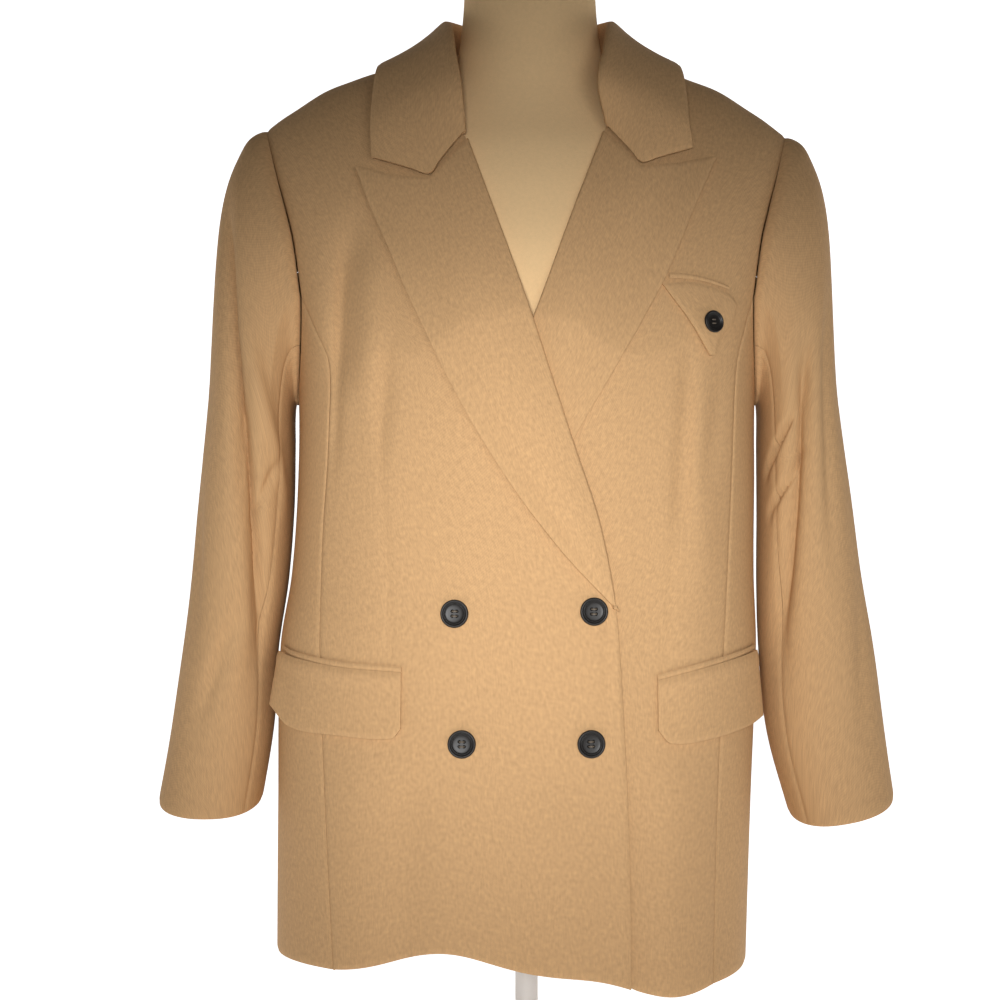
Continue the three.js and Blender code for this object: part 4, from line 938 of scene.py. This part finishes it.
@dataclass
class Lapels:
    """The peak lapels, which roll out of the fronts."""

    rows: int = 110
    columns: int = 44
    roll_steps: int = 9
    base: float = CLOTH + SEAM + 0.3

    CUTS = {
        Side.RIGHT: LapelCut(
            roll=((72.5, 424), (58, 495), (36, 562), (22, 604.7), (-2.9, 681.5), (-52.5, 824)),
            edge=((74.5, 422), (22, 479), (-37, 564), (-97.6, 682.6), (-130.6, 757.5),
                  (-147.5, 800.5)),
            top=((-52.5, 824), (-81.6, 788.6), (-104, 790.5), (-125.6, 795), (-147.5, 800.5)),
            bottom=((72.5, 424), (74.5, 422)),
            outer=7.5,
        ),
        Side.LEFT: LapelCut(
            roll=((-5, 640), (3.7, 663), (35, 748), (67, 832)),
            edge=((28, 547), (36, 562), (112, 695.6), (139, 757.5), (163.8, 811.5)),
            top=((67, 832), (96.6, 799.7), (130, 804.5), (163.8, 811.5)),
            bottom=((-5, 640), (28, 547)),
            outer=4.5,
        ),
    }

    def build(self, side: Side, name: str) -> Sheet:
        """The lapel on its front, its outer edge standing off, its inner edge rolled under."""
        cut = self.CUTS[side]
        u, v = spread(self.columns, (0.008, 0.02, 0.035)), spread(self.rows, (0.002, 0.006))
        places = coons(
            curve(cut.bottom, u), curve(cut.top, u, smooth=False), curve(cut.roll, v),
            curve(cut.edge, v), u, v
        )
        points, normals = BODY.on_front(places)
        across, rise = u[None, :], v[:, None]
        stand = (cut.outer - self.base) * across**2 * ease(0, 0.25, rise)
        roundness = 3.0 * np.sin(math.pi * np.minimum(across * 1.5, 1)) * ease(0, 0.3, rise)
        lift = self.base + stand + roundness + under_lift(side, places[..., 0], places[..., 1])
        lift = lift + edge_fall(points, 0.8, 2.4, "UV")
        outer = points + normals * lift[..., None]
        roll = self.roll_under(outer, normals, side)
        outer = np.concatenate([roll, outer], axis=1)
        like = np.concatenate([np.repeat(normals[:, :1], self.roll_steps, axis=1), normals], axis=1)
        return cloth_shell(name, outer, grid_normals(outer, like), 1.6)

    def roll_under(self, outer: Array, normals: Array, side: Side) -> Array:
        """The half circle from the front's inner face up to the lapel, along the roll line."""
        radius = (self.base + CLOTH) / 2
        away = unit(outer[:, 0] - outer[:, 2])
        small = ease(0, 0.05, np.linspace(0, 1, len(outer)))[:, None] * 0.8 + 0.2
        angle = np.linspace(math.pi * 0.95, 0.12 * math.pi, self.roll_steps)[None, :, None]
        centre = outer[:, 0] - normals[:, 0] * radius
        bulge = away[:, None] * (np.sin(angle) * radius * small[:, None])
        return centre[:, None] + bulge + normals[:, :1] * np.cos(angle) * radius


# ---- Collar ----
@dataclass
class Collar:
    """The collar: a stand, a roll and a fall, in sections from the centre back to each gorge."""

    steps: int = 9
    fall_steps: int = 6
    fine: int = 9

    HALF = Table(
        ("t", "foot_x", "foot_y", "foot_z", "roll_x", "roll_y", "roll_z", "edge_x",
         "edge_y", "edge_z"),
        (
            (0, 0, 74, 897, 0, 76, 939, 0, 100, 873),
            (1, 42, 58, 905, 42, 61, 940, 66, 92, 879),
            (2, 69, 20, 918, 68, 18, 940, 122, 40, 896),
            (3, 71, -22, 908, 66, -22, 929, 131, -16, 898),
            (4, 65, -58, 884, 62, -60, 897, 135, -52, 862),
            (5, 54, -96, 830, 52, -99, 836, 136, -82, 807),
        ),
    )
    ENDS = {
        Side.RIGHT: ((-53.5, 827.0), (-82.2, 790.5), (-133.0, 807.0)),
        Side.LEFT: ((67.5, 834.5), (97.2, 801.7), (141.5, 816.0)),
    }

    def section(self, side: Side, t: float) -> Array:
        """One section, from the foot of the stand over the roll to the outer edge."""
        place = {}
        for word in ("foot", "roll", "edge"):
            x, y, z = (float(self.HALF.read(f"{word}_{axis}", t)) for axis in "xyz")
            move = 4 * ease(0, 2, t) if side == Side.LEFT else 0
            rise = 6 * ease(3, 5, t) if side == Side.LEFT else 0
            place[word] = np.array([side * x + side * move, y, z + rise])
        foot, roll, edge = place["foot"], place["roll"], place["edge"]
        outward = unit((edge - roll) * [1, 1, 0])
        crown = roll + outward * 3
        points = [foot, mix(foot, roll, 0.425), mix(roll, foot, 0.12),
                  np.array([*crown[:2], roll[2] + 2])]
        for v in np.arange(1, self.fall_steps + 1) / self.fall_steps:
            sag = 5 * math.sin(math.pi * v) * (1 - t / 5)
            points.append(mix(crown + outward * 3, edge, v) - [0, 0, sag])
        return np.array(points)

    def end(self, side: Side) -> Array:
        """The last section, along the gorge seam and the lower edge of the collar on the chest."""
        roll, notch, tip = self.ENDS[side]
        seam = curve((roll, notch), np.linspace(0, 1, 4), smooth=False)
        free = curve((notch, tip), np.linspace(0, 1, self.fall_steps - 2), smooth=False)
        places = np.concatenate([seam, free[1:]])
        points, normals = BODY.on_front(places)
        lift = 6.4 + under_lift(side, places[:, 0], places[:, 1])
        chest = points + normals * lift[:, None]
        inner = chest[0] + np.array([side, 0, 1]) - normals[0] * 4
        return np.concatenate([[inner, mix(inner, chest[0], 0.3), mix(inner, chest[0], 0.6)], chest])

    def build(self, name: str) -> Sheet:
        """The whole collar, its sections joined along smooth curves."""
        halves = []
        for side in Side:
            rows = [self.section(side, 5 * i / self.steps) for i in range(self.steps)]
            halves.append(np.array([*rows, self.end(side)]))
        control = np.concatenate([halves[0][::-1], halves[1][1:]])
        rows, columns = control.shape[:2]
        along = spread((rows - 1) * self.fine, (0.0015, 0.004)) * (rows - 1)
        fine = smooth_read(np.arange(rows, dtype=float), control.reshape(rows, -1), along)
        fine = fine.reshape(len(along), columns, 3).transpose(1, 0, 2)
        down = spread((columns - 1) * 5, (0.006, 0.015)) * (columns - 1)
        fine = smooth_read(np.arange(columns, dtype=float), fine.reshape(columns, -1), down)
        fine = fine.reshape(len(down), len(along), 3).transpose(1, 0, 2)
        out = fine - np.array([0, 10, 860])
        normals = grid_normals(fine, out)
        outer = fine + normals * (CLOTH + edge_fall(fine, 0.8, 2.4, "uUV"))[..., None]
        return cloth_shell(name, outer, normals)


# ---- Pockets ----
@dataclass
class Pockets:
    """The hip flaps and welts, and the pointed breast flap."""

    columns: int = 60
    rows: int = 26
    welt_height: float = 4.6

    FLAPS = {
        Side.RIGHT: Table(
            ("s", "x", "top", "bottom", "lift"),
            (
                (0, -105.5, 370.7, 324, 3.4),
                (0.08, -113, 371.2, 315.8, 3.4),
                (0.5, -160, 374, 316.5, 3.6),
                (0.85, -199, 380, 321, 7),
                (1, -211, 384, 338, 13),
            ),
        ),
        Side.LEFT: Table(
            ("s", "x", "top", "bottom", "lift"),
            (
                (0, 109.5, 363.5, 322, 3.4),
                (0.1, 119, 366, 311, 3.4),
                (0.45, 150, 373.5, 312.5, 3.6),
                (0.85, 186, 382, 321, 6),
                (1, 196, 385, 328, 10),
            ),
        ),
    }
    BREAST_TOP = ((114, 698), (138.5, 699), (157.5, 695), (172, 689.5), (178, 682))
    BREAST_INNER = ((152, 637), (135, 666.5), (124, 683), (114, 698))
    BREAST_OUTER = ((156.5, 638), (161.7, 653.5), (173.5, 667), (178, 682))
    BREAST_BOTTOM = ((152, 637), (156.5, 638))

    def near_side(self, side: Side, x: Array, z: Array) -> tuple[Array, Array]:
        """Points and normals of the front at x, reached round the side."""
        from_middle = np.abs(x - BODY.ring(z, "shift"))
        return BODY.on_side(side, BODY.angle_at(Face.FRONT, from_middle, z), z)

    def hip_flap(self, side: Side, name: str) -> Sheet:
        """A hip flap that hangs from its welt and stands off at its far end."""
        s, v = spread(self.columns, (0.01, 0.02)), spread(self.rows, (0.015, 0.035))[:, None]
        table = self.FLAPS[side]
        x = np.broadcast_to(table.read("x", s), (len(v), len(s)))
        z = mix(table.read("top", s), table.read("bottom", s), v)
        points, normals = self.near_side(side, x, z)
        base = CLOTH + SEAM + 0.2
        lift = base + (table.read("lift", s) - base) * (0.35 + 0.65 * v) + 1.2 * np.sin(v * QUARTER)
        lift = lift + 0.8 * bell(v - 0.12, 0.1) + under_lift(side, x, z * 0 + 370)
        outer = points + normals * (lift + edge_fall(points, 0.8, 2.2))[..., None]
        return cloth_shell(name, outer, grid_normals(outer, normals))

    def hip_welt(self, side: Side, name: str) -> Sheet:
        """The narrow welt above a hip flap."""
        s, v = spread(self.columns, (0.01, 0.02)), np.linspace(0, 1, 9)[:, None]
        table = self.FLAPS[side]
        x = np.broadcast_to(table.read("x", s), (len(v), len(s)))
        z = table.read("top", s) + SEAM + v * self.welt_height
        points, normals = self.near_side(side, x, z)
        lift = 1.5 + SEAM + 0.7 * np.sin(math.pi * v) + under_lift(side, x, z * 0 + 370)
        outer = points + normals * lift[..., None]
        return cloth_shell(name, outer, grid_normals(outer, normals), 1.2)

    def breast_flap(self, name: str) -> Sheet:
        """The pointed flap on the wearer's left breast."""
        u, v = spread(30, (0.015, 0.035)), spread(30, (0.01, 0.025))
        places = coons(
            curve(self.BREAST_BOTTOM, u),
            curve(self.BREAST_TOP, u),
            curve(self.BREAST_INNER, v),
            curve(self.BREAST_OUTER, v),
            u,
            v,
        )
        points, normals = BODY.on_front(places)
        lift = (
            CLOTH + SEAM + 0.3 + 2.4 * (1 - v[:, None])
            + under_lift(Side.LEFT, places[..., 0], places[..., 1])
        )
        outer = points + normals * (lift + edge_fall(points, 0.8, 2.2))[..., None]
        return cloth_shell(name, outer, grid_normals(outer, normals))

    def breast_welt(self, name: str) -> Sheet:
        """The narrow welt above the breast flap."""
        s, v = spread(30, (0.01, 0.025)), np.linspace(0, 1, 7)[:, None]
        x = np.broadcast_to(mix(119.5, 170.0, s), (len(v), len(s)))
        z = mix(702.5, 694.0, s**2) + v * 5 * (1 - 0.4 * s)
        points, normals = BODY.on_front(np.stack([x, z], axis=-1))
        lift = 1.5 + SEAM + 0.6 * np.sin(math.pi * v) + under_lift(Side.LEFT, x, z)
        outer = points + normals * lift[..., None]
        return cloth_shell(name, outer, grid_normals(outer, normals), 1.2)


# ---- Buttons ----
@dataclass(frozen=True)
class ButtonPlace:
    """Where a button lies on the front, and its size."""

    node: str
    x: float
    z: float
    radius: float
    lift: float = 0.6


@dataclass
class Buttons:
    """Four-hole buttons with a rim and a dished middle, sewn with dark thread."""

    spokes: int = 72
    thread_sides: int = 10
    thread_steps: int = 24

    PLACES = (
        ButtonPlace("button_top_right", -61.3, 420.3, 11.8),
        ButtonPlace("button_top_left", 54.4, 422.0, 11.8),
        ButtonPlace("button_low_right", -55.3, 312.2, 11.8),
        ButtonPlace("button_low_left", 51.9, 312.2, 11.8),
        ButtonPlace("button_breast", 154.0, 665.0, 9.5, CLOTH + SEAM + 1.62 + 0.6),
    )
    # r and h as shares of the radius and thickness, from the middle of the face round to the back
    PROFILE = (
        (0.0, 0.5),
        (0.1, 0.5),
        (0.22, 0.5),
        (0.34, 0.51),
        (0.5, 0.54),
        (0.62, 0.6),
        (0.68, 0.7),
        (0.71, 0.8),
        (0.74, 0.74),
        (0.78, 0.8),
        (0.84, 0.97),
        (0.9, 1.02),
        (0.96, 0.92),
        (0.995, 0.7),
        (1.0, 0.45),
        (0.96, 0.16),
        (0.86, 0.0),
        (0.4, 0.0),
        (0.0, 0.0),
    )
    HOLES = ((-1, -1), (-1, 1), (1, -1), (1, 1))

    def place(self, spot: ButtonPlace) -> tuple[Array, Array]:
        """The seat of a button, and its three directions: right, up and out."""
        lift = (
            spot.lift
            + float(under_lift(Side.LEFT, np.array(spot.x), np.array(spot.z))) * (spot.x > 100)
        )
        point, out = BODY.on_front(np.array([spot.x, spot.z]))
        right = unit(np.cross(out, [0, 0, 1]))
        right = right * np.sign(right[0])
        up = unit(np.cross(out, right))
        up = up * np.sign(up[2])
        return point + out * lift, np.stack([right, up, out])

    def disc(self, spot: ButtonPlace) -> bpy.types.Object:
        """The button: its profile turned about its axis, with four wells for the holes."""
        seat, axes = self.place(spot)
        profile = np.array(self.PROFILE)
        s = np.linspace(0, 1, 90)
        lengths = np.linspace(0, 1, len(profile))
        r, h = smooth_read(lengths, profile, s).T
        r = np.clip(r, 0, 1)
        r[0] = r[-1] = 0
        angle = np.arange(self.spokes) / self.spokes * 2 * math.pi
        x = r[:, None] * np.cos(angle) * spot.radius
        y = r[:, None] * np.sin(angle) * spot.radius
        depth = np.zeros_like(x)
        for i, j in self.HOLES:
            away = np.hypot(x - i * 0.17 * spot.radius, y - j * 0.17 * spot.radius)
            depth = np.maximum(depth, 1 - ease(0.07 * spot.radius, 0.11 * spot.radius, away))
        on_face = (s < 0.5)[:, None]
        thickness = spot.radius * 0.3
        z = h[:, None] * thickness - np.where(on_face, depth * thickness * 0.4, 0)
        local = np.stack([x, y, z], axis=-1)[1:-1]
        points = np.concatenate([local.reshape(-1, 3), [[0, 0, z[0, 0]], [0, 0, 0]]])
        rows, count = local.shape[0], self.spokes
        ids = np.arange(rows * count).reshape(rows, count)
        ahead = np.roll(ids, -1, axis=1)
        quads = np.stack([ids[:-1], ahead[:-1], ahead[1:], ids[1:]], axis=-1).reshape(-1, 4)
        top, foot = rows * count, rows * count + 1
        pair = np.arange(0, count, 2)
        cap = np.stack([np.full(len(pair), top), ids[0, (pair + 2) % count], ids[0, pair + 1], ids[0, pair]], axis=-1)
        sole = np.stack([np.full(len(pair), foot), ids[-1, pair], ids[-1, pair + 1], ids[-1, (pair + 2) % count]], -1)
        return make_object(spot.node.replace("_", " "), seat + points @ axes,
                           np.concatenate([quads, cap, sole]))

    def thread(self) -> bpy.types.Object:
        """The thread of all the buttons as one mesh: two arched strands over each pair of holes."""
        t = np.linspace(-1, 1, self.thread_steps)[:, None]
        angle = np.arange(self.thread_sides) / self.thread_sides * 2 * math.pi
        all_points, all_quads, first = [], [], 0
        for spot in self.PLACES:
            seat, axes = self.place(spot)
            for j in (-1, 1):
                radius = 0.075 * spot.radius * np.sqrt(np.maximum(1 - t**2, 0.02))
                x = t * 0.23 * spot.radius + 0 * angle
                y = j * 0.17 * spot.radius + radius * np.cos(angle)
                z = 0.15 * spot.radius + 0.05 * spot.radius * (1 - t**2) + radius * np.sin(angle)
                local = np.stack([x, y, z], axis=-1)
                ids = first + np.arange(local[..., 0].size).reshape(local.shape[:2])
                ahead = np.roll(ids, -1, axis=1)
                all_quads.append(np.stack([ids[:-1], ahead[:-1], ahead[1:], ids[1:]], axis=-1).reshape(-1, 4))
                for end in (ids[0], ids[-1][::-1]):
                    fan = [
                        [end[0], end[k + 2], end[k + 1], end[k]]
                        for k in range(1, len(end) - 2, 2)
                    ]
                    all_quads.append(np.array([*fan, [end[0], end[-1], end[-1], end[0]]])[:-1])
                all_points.append(seat + local.reshape(-1, 3) @ axes)
                first += local[..., 0].size
        return make_object("button thread", np.concatenate(all_points), np.concatenate(all_quads))


# ---- The dress form and its stand ----
@dataclass
class DressForm:
    """A limbless torso with a neck, on a pole and a round base."""

    rows: int = 150
    sides: int = 96

    TORSO = Table(
        ("z", "half", "front", "back", "middle"),
        (
            (232, 150, 112, 112, 0),
            (262, 172, 126, 132, 0),
            (340, 184, 132, 140, 0),
            (430, 176, 128, 130, 0),
            (510, 168, 130, 120, 0),
            (590, 178, 142, 126, 0),
            (650, 188, 146, 130, 0),
            (720, 186, 136, 130, 0),
            (780, 172, 110, 116, 1),
            (820, 148, 88, 98, 2),
            (850, 112, 68, 80, 3),
            (872, 86, 58, 68, 4),
            (892, 70, 54, 61, 5),
            (915, 63, 52.5, 57, 6),
            (940, 60, 52, 55, 6),
            (961, 58.5, 51, 54, 6),
        ),
    )

    def torso(self) -> bpy.types.Object:
        """The covered torso: oval rings stacked up, closed flat at both ends."""
        z = np.concatenate([[232.0], np.linspace(232, 961, self.rows), [961.0]])
        angle = np.arange(self.sides) / self.sides * 2 * math.pi
        get = {name: self.TORSO.read(name, z)[:, None] for name in self.TORSO.names[1:]}
        depth = np.where(np.cos(angle) > 0, -get["front"], -get["back"])
        x = get["half"] * np.sin(angle) + 0.5 * get["middle"]
        y = get["middle"] + depth * np.cos(angle)
        points = np.stack([x, y, np.broadcast_to(z[:, None], x.shape)], axis=-1)
        points[0] = points[0] * [0.001, 0.001, 1]
        points[-1] = (points[-1] - [3, 6, 0]) * [0.001, 0.001, 1] + [3, 6, 0]
        return ring_object("form torso", points)

    def lathe(self, name: str, profile: Line, centre: tuple[float, float, float], depth: float) -> bpy.types.Object:
        """A turned piece: a profile of radius and height swept round a standing axis."""
        corners = np.array(profile, float)
        angle = np.arange(self.sides) / self.sides * 2 * math.pi
        radius = np.maximum(corners[:, :1], 0.01)
        points = np.stack(
            [radius * np.sin(angle), -depth * radius * np.cos(angle), corners[:, 1:] + 0 * angle], axis=-1
        )
        return ring_object(name, points + np.array(centre))

    def build(self) -> dict[str, bpy.types.Object]:
        """The form, cap, pole and base, by node name."""
        cap = ((0, 0), (57, 0), (57.8, 1), (58, 2.4), (58, 8), (57, 10.4), (54, 12), (42, 14.4),
               (30, 16), (0, 17))
        flange = tuple((16 + 16 * (1 - math.sin(a)), 15 + 15 * (1 - math.cos(a))) for a in np.linspace(0, 1.5, 8))
        base = ((0, 0), (148, 0), (149.4, 0.6), (150, 2), (150, 10), (149, 12.6), (146, 14),
                *flange, (16, 30), (0, 30))
        return {
            "form_torso": self.torso(),
            "neck_cap": self.lathe("neck cap", cap, (3, 11, 961.3), 0.97),
            "stand_pole": self.lathe("stand pole", ((0, 30.3), (10, 30.3), (10, 231.7), (0, 231.7)), (0, 0, 0), 1),
            "stand_base": self.lathe("stand base", base, (0, 0, 0), 1),
        }


def ring_object(name: str, rings: Array) -> bpy.types.Object:
    """A closed body from a stack of rings whose first and last are tiny."""
    rows, count = rings.shape[:2]
    ids = np.arange(rows * count).reshape(rows, count)
    ahead = np.roll(ids, -1, axis=1)
    quads = np.stack([ids[:-1], ahead[:-1], ahead[1:], ids[1:]], axis=-1).reshape(-1, 4)
    pair = np.arange(1, count - 2, 2)
    foot = np.stack([ids[0, 0] + 0 * pair, ids[0, pair + 2], ids[0, pair + 1], ids[0, pair]], axis=-1)
    head = np.stack([ids[-1, 0] + 0 * pair, ids[-1, pair], ids[-1, pair + 1], ids[-1, pair + 2]], axis=-1)
    return make_object(name, rings.reshape(-1, 3), np.concatenate([quads, foot, head]))


# ---- Materials ----
def linear(hex_colour: str) -> tuple[float, float, float, float]:
    """Turns an sRGB hex colour into a linear one.

    Args:
        hex_colour: Six hex digits.

    Returns:
        Red, green, blue and alpha.
    """
    parts = [int(hex_colour[k : k + 2], 16) / 255 for k in (0, 2, 4)]
    return (*(c / 12.92 if c <= 0.04045 else ((c + 0.055) / 1.055) ** 2.4 for c in parts), 1.0)


def add_node(tree: bpy.types.NodeTree, kind: str, settings: dict | None = None,
             links: dict | None = None):
    """Adds a node.

    Args:
        tree: The material's node tree.
        kind: The node's type name.
        settings: Its properties, or values of its inputs by name or number.
        links: Output sockets by input name or number.

    Returns:
        The node.
    """
    made = tree.nodes.new(kind)
    for key, value in (settings or {}).items():
        if isinstance(key, str) and hasattr(made, key):
            setattr(made, key, value)
        else:
            made.inputs[key].default_value = value
    for key, socket in (links or {}).items():
        tree.links.new(socket, made.inputs[key])
    return made


@dataclass(frozen=True)
class Finish:
    """A plain finish."""

    name: str
    colour: str
    roughness: float
    specular: float = 0.5
    coat: float = 0.0
    emission: float = 0.0

    def shader(self) -> tuple[bpy.types.Material, bpy.types.NodeTree, bpy.types.Node]:
        """The material, its tree and its cleared main shader."""
        material = bpy.data.materials.new(self.name)
        material.use_nodes = True
        tree = material.node_tree
        tree.nodes.clear()
        settings = {
            "Base Color": linear(self.colour),
            "Roughness": self.roughness,
            "Specular IOR Level": self.specular,
            "Coat Weight": self.coat,
        }
        main = add_node(tree, "ShaderNodeBsdfPrincipled", settings)
        if self.emission:
            main.inputs["Emission Color"].default_value = (1, 1, 1, 1)
            main.inputs["Emission Strength"].default_value = self.emission
        add_node(tree, "ShaderNodeOutputMaterial", links={"Surface": main.outputs[0]})
        return material, tree, main

    def build(self) -> bpy.types.Material:
        """The finished material."""
        return self.shader()[0]


@dataclass(frozen=True)
class Woven(Finish):
    """A woven cloth: diagonal twill lines and soft mottling, from cloth coordinates in metres."""

    twill: float = 0.0011
    slub: float = 7.0
    mottle: float = 0.0035
    contrast: float = 0.1
    bump: float = 0.00012
    sheen: float = 0.25
    on_object: bool = False

    def build(self) -> bpy.types.Material:
        """The cloth with its weave as colour and bump."""
        material, tree, main = self.shader()
        place = add_node(tree, "ShaderNodeTexCoord")
        socket = place.outputs["Object"] if self.on_object else place.outputs["UV"]
        wave = add_node(
            tree,
            "ShaderNodeTexWave",
            {"bands_direction": "DIAGONAL", "Scale": 0.35 / self.twill, "Distortion": 1.2,
             "Detail": 1.0},
            {"Vector": socket},
        )
        stretch = (1 / self.twill, 1 / (self.twill * self.slub), 1 / self.twill)
        thread = add_node(tree, "ShaderNodeMapping", {"Scale": stretch}, {"Vector": socket})
        fine = add_node(tree, "ShaderNodeTexNoise", {"Scale": 1.0, "Detail": 3.0},
                        {"Vector": thread.outputs[0]})
        broad = add_node(tree, "ShaderNodeTexNoise", {"Scale": 1 / self.mottle, "Detail": 4.0},
                         {"Vector": socket})
        grain = add_node(
            tree, "ShaderNodeMath", {"operation": "ADD"}, {0: fine.outputs[0], 1: broad.outputs[0]}
        )
        weave = add_node(
            tree,
            "ShaderNodeMath",
            {"operation": "MULTIPLY_ADD", 1: 0.15},
            {0: wave.outputs["Color"], 2: grain.outputs[0]},
        )
        base = np.array(linear(self.colour)[:3])
        tone = add_node(
            tree,
            "ShaderNodeMapRange",
            {"From Min": 0.75, "From Max": 1.4, "To Min": 1 - self.contrast,
             "To Max": 1 + self.contrast},
            {"Value": weave.outputs[0]},
        )
        colour = add_node(tree, "ShaderNodeVectorMath", {"operation": "SCALE", 0: tuple(base)})
        tree.links.new(tone.outputs[0], colour.inputs["Scale"])
        tree.links.new(colour.outputs[0], main.inputs["Base Color"])
        bump = add_node(
            tree, "ShaderNodeBump", {"Distance": self.bump, "Strength": 1.0},
            {"Height": weave.outputs[0]}
        )
        tree.links.new(bump.outputs[0], main.inputs["Normal"])
        main.inputs["Sheen Weight"].default_value = self.sheen
        main.inputs["Sheen Roughness"].default_value = 0.5
        main.inputs["Sheen Tint"].default_value = (*base, 1.0)
        return material


# Wool-blend suiting in camel, dull, with a fine twill
SUITING = Woven("camel suiting", "c29b6f", 0.85, 0.15, contrast=0.14, sheen=0.08)
# Polyester resin buttons, nearly black, with a soft shine
RESIN = Finish("dark button resin", "1c1917", 0.42, 0.35)
# Polyester thread, dark, a little shiny
THREAD = Finish("dark thread", "5e5346", 0.4)
# Cotton jersey cover of the dress form
JERSEY = Woven("beige jersey cover", "f0cb98", 0.9, 0.2, twill=0.0008, contrast=0.04,
               on_object=True)
# White powder-coated steel of the stand
POWDER_COAT = Finish("white powder coat", "eeeeec", 0.4)
# Matt white paper of the studio
PAPER = Finish("white studio paper", "f6f6f5", 0.9, 0.1, emission=0.85)


# ---- The studio ----
@dataclass
class Studio:
    """A white floor that sweeps up behind, soft frontal light and the camera."""

    distance: float = 2.4
    frame_width: float = 0.890
    camera_x: float = -0.0236
    camera_z: float = 0.515
    sensor: float = 36.0
    key_power: float = 188.0
    key_cone: float = 24.5
    key_radius: float = 0.22
    fill_power: float = 6.5
    fill_size: float = 0.9
    ambient: float = 0.045
    aim: tuple[float, float, float] = (0.0, 0.0, 0.47)

    def build(self) -> None:
        """Adds the floor, the lights and the camera."""
        scene = bpy.context.scene
        scene.view_settings.view_transform = "Standard"
        shift = origin_shift() * MM
        self.sweep()
        world = bpy.data.worlds.new("soft white room")
        world.use_nodes = True
        world.node_tree.nodes["Background"].inputs["Color"].default_value = (1, 1, 1, 1)
        world.node_tree.nodes["Background"].inputs["Strength"].default_value = self.ambient
        scene.world = world
        key = self.light("key", (-0.12, -2.2, 0.6), "SPOT", self.key_power)
        key.spot_size = math.radians(self.key_cone)
        key.spot_blend = 1.0
        key.shadow_soft_size = self.key_radius
        self.light("fill", (0.7, -2.0, 0.7), "AREA", self.fill_power).size = self.fill_size
        data = bpy.data.cameras.new("camera")
        data.sensor_width = self.sensor
        data.lens = self.sensor * self.distance / self.frame_width
        camera = bpy.data.objects.new("camera", data)
        camera.location = (shift[0] + self.camera_x, shift[1] - self.distance, self.camera_z)
        camera.rotation_euler = (QUARTER, 0, 0)
        scene.collection.objects.link(camera)
        scene.camera = camera

    def light(self, name: str, place: tuple[float, float, float], kind: str, power: float) -> bpy.types.Light:
        """Adds a light aimed at the middle of the blazer.

        Args:
            name: The light's name.
            place: Where it hangs, in metres.
            kind: Blender's word for its kind.
            power: Its power in watts.

        Returns:
            The light, so that its size can be set.
        """
        data = bpy.data.lights.new(name, kind)
        data.energy = power
        made = bpy.data.objects.new(name, data)
        made.location = place
        made.rotation_euler = (Vector(self.aim) - Vector(place)).to_track_quat("-Z", "Y").to_euler()
        bpy.context.scene.collection.objects.link(made)
        return data

    def sweep(self) -> None:
        """The paper: a flat floor, a quarter circle and a wall, as one swept line."""
        turn = np.linspace(0, QUARTER, 24)
        radius, back, front, height, wide = 1.0, 1.6, -0.8, 4.0, 6.0
        y = np.concatenate([[front], back + radius * np.sin(turn), [back + radius]])
        z = np.concatenate([[0], radius * (1 - np.cos(turn)), [height]])
        x = np.array([-wide, wide])[:, None]
        points = np.stack([x + 0 * y, y + 0 * x, z + 0 * x], axis=-1)
        mesh = bpy.data.meshes.new("studio paper")
        mesh.from_pydata(points.reshape(-1, 3).tolist(), [],
                         grid_quads(2, len(y))[:, ::-1].tolist())
        mesh.shade_smooth()
        mesh.materials.append(PAPER.build())
        paper = bpy.data.objects.new("studio paper", mesh)
        bpy.context.scene.collection.objects.link(paper)


# ---- The whole part ----
@dataclass
class Blazer:
    """Builds and dresses every piece."""

    panels: Panels
    sleeves: Sleeves
    lapels: Lapels
    collar: Collar
    pockets: Pockets
    buttons: Buttons
    form: DressForm

    def cloth(self) -> dict[str, Sheet]:
        """All the cloth, by the node that each piece stands for."""
        made: dict[str, Sheet] = {}
        for side in Side:
            word = side.name.lower()
            makers: dict[str, Callable[[Side, str], Sheet]] = {
                "front": self.panels.front,
                "back": self.panels.back,
                "side_panel": self.panels.side,
                "lapel": self.lapels.build,
                "hip_flap": self.pockets.hip_flap,
                "hip_welt": self.pockets.hip_welt,
            }
            for part, maker in makers.items():
                made[f"{word}_{part}"] = maker(side, f"{word} {part.replace('_', ' ')}")
                log.info("built %s_%s", word, part)
            made.update(self.sleeves.build(side, word))
            log.info("built %s sleeve", word)
        made["collar"] = self.collar.build("top collar")
        made["breast_flap"] = self.pockets.breast_flap("breast flap piece")
        made["breast_welt"] = self.pockets.breast_welt("breast welt piece")
        return made

    def build(self) -> None:
        """Builds the part, gives each piece its finish and hides the CAD node that it stands for."""
        suiting, resin, thread = SUITING.build(), RESIN.build(), THREAD.build()
        jersey, coat = JERSEY.build(), POWDER_COAT.build()
        form = self.form.build()
        for node, piece in form.items():
            is_torso = node == "form_torso"
            dress(piece, jersey if is_torso else coat, node)
            log.info("built %s", node)
        for node, sheet in self.cloth().items():
            dress(sheet.piece, suiting, node)
        for spot in self.buttons.PLACES:
            dress(self.buttons.disc(spot), resin, spot.node)
            log.info("built %s", spot.node)
        dress(self.buttons.thread(), thread)


def dress(piece: bpy.types.Object, material: bpy.types.Material, node: str | None = None) -> None:
    """Gives a piece its material and its place in the part.

    Args:
        piece: The mesh object.
        material: Its finish.
        node: The CAD node that it stands for.
    """
    piece.data.materials.append(material)
    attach(piece, "root")
    if node:
        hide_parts(node)


def main() -> None:
    """Builds the part, then the studio."""
    logging.basicConfig(level=logging.INFO, format="%(message)s")
    Blazer(Panels(), Sleeves(), Lapels(), Collar(), Pockets(), Buttons(), DressForm()).build()
    Studio().build()
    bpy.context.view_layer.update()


if __name__ == "__main__":
    main()
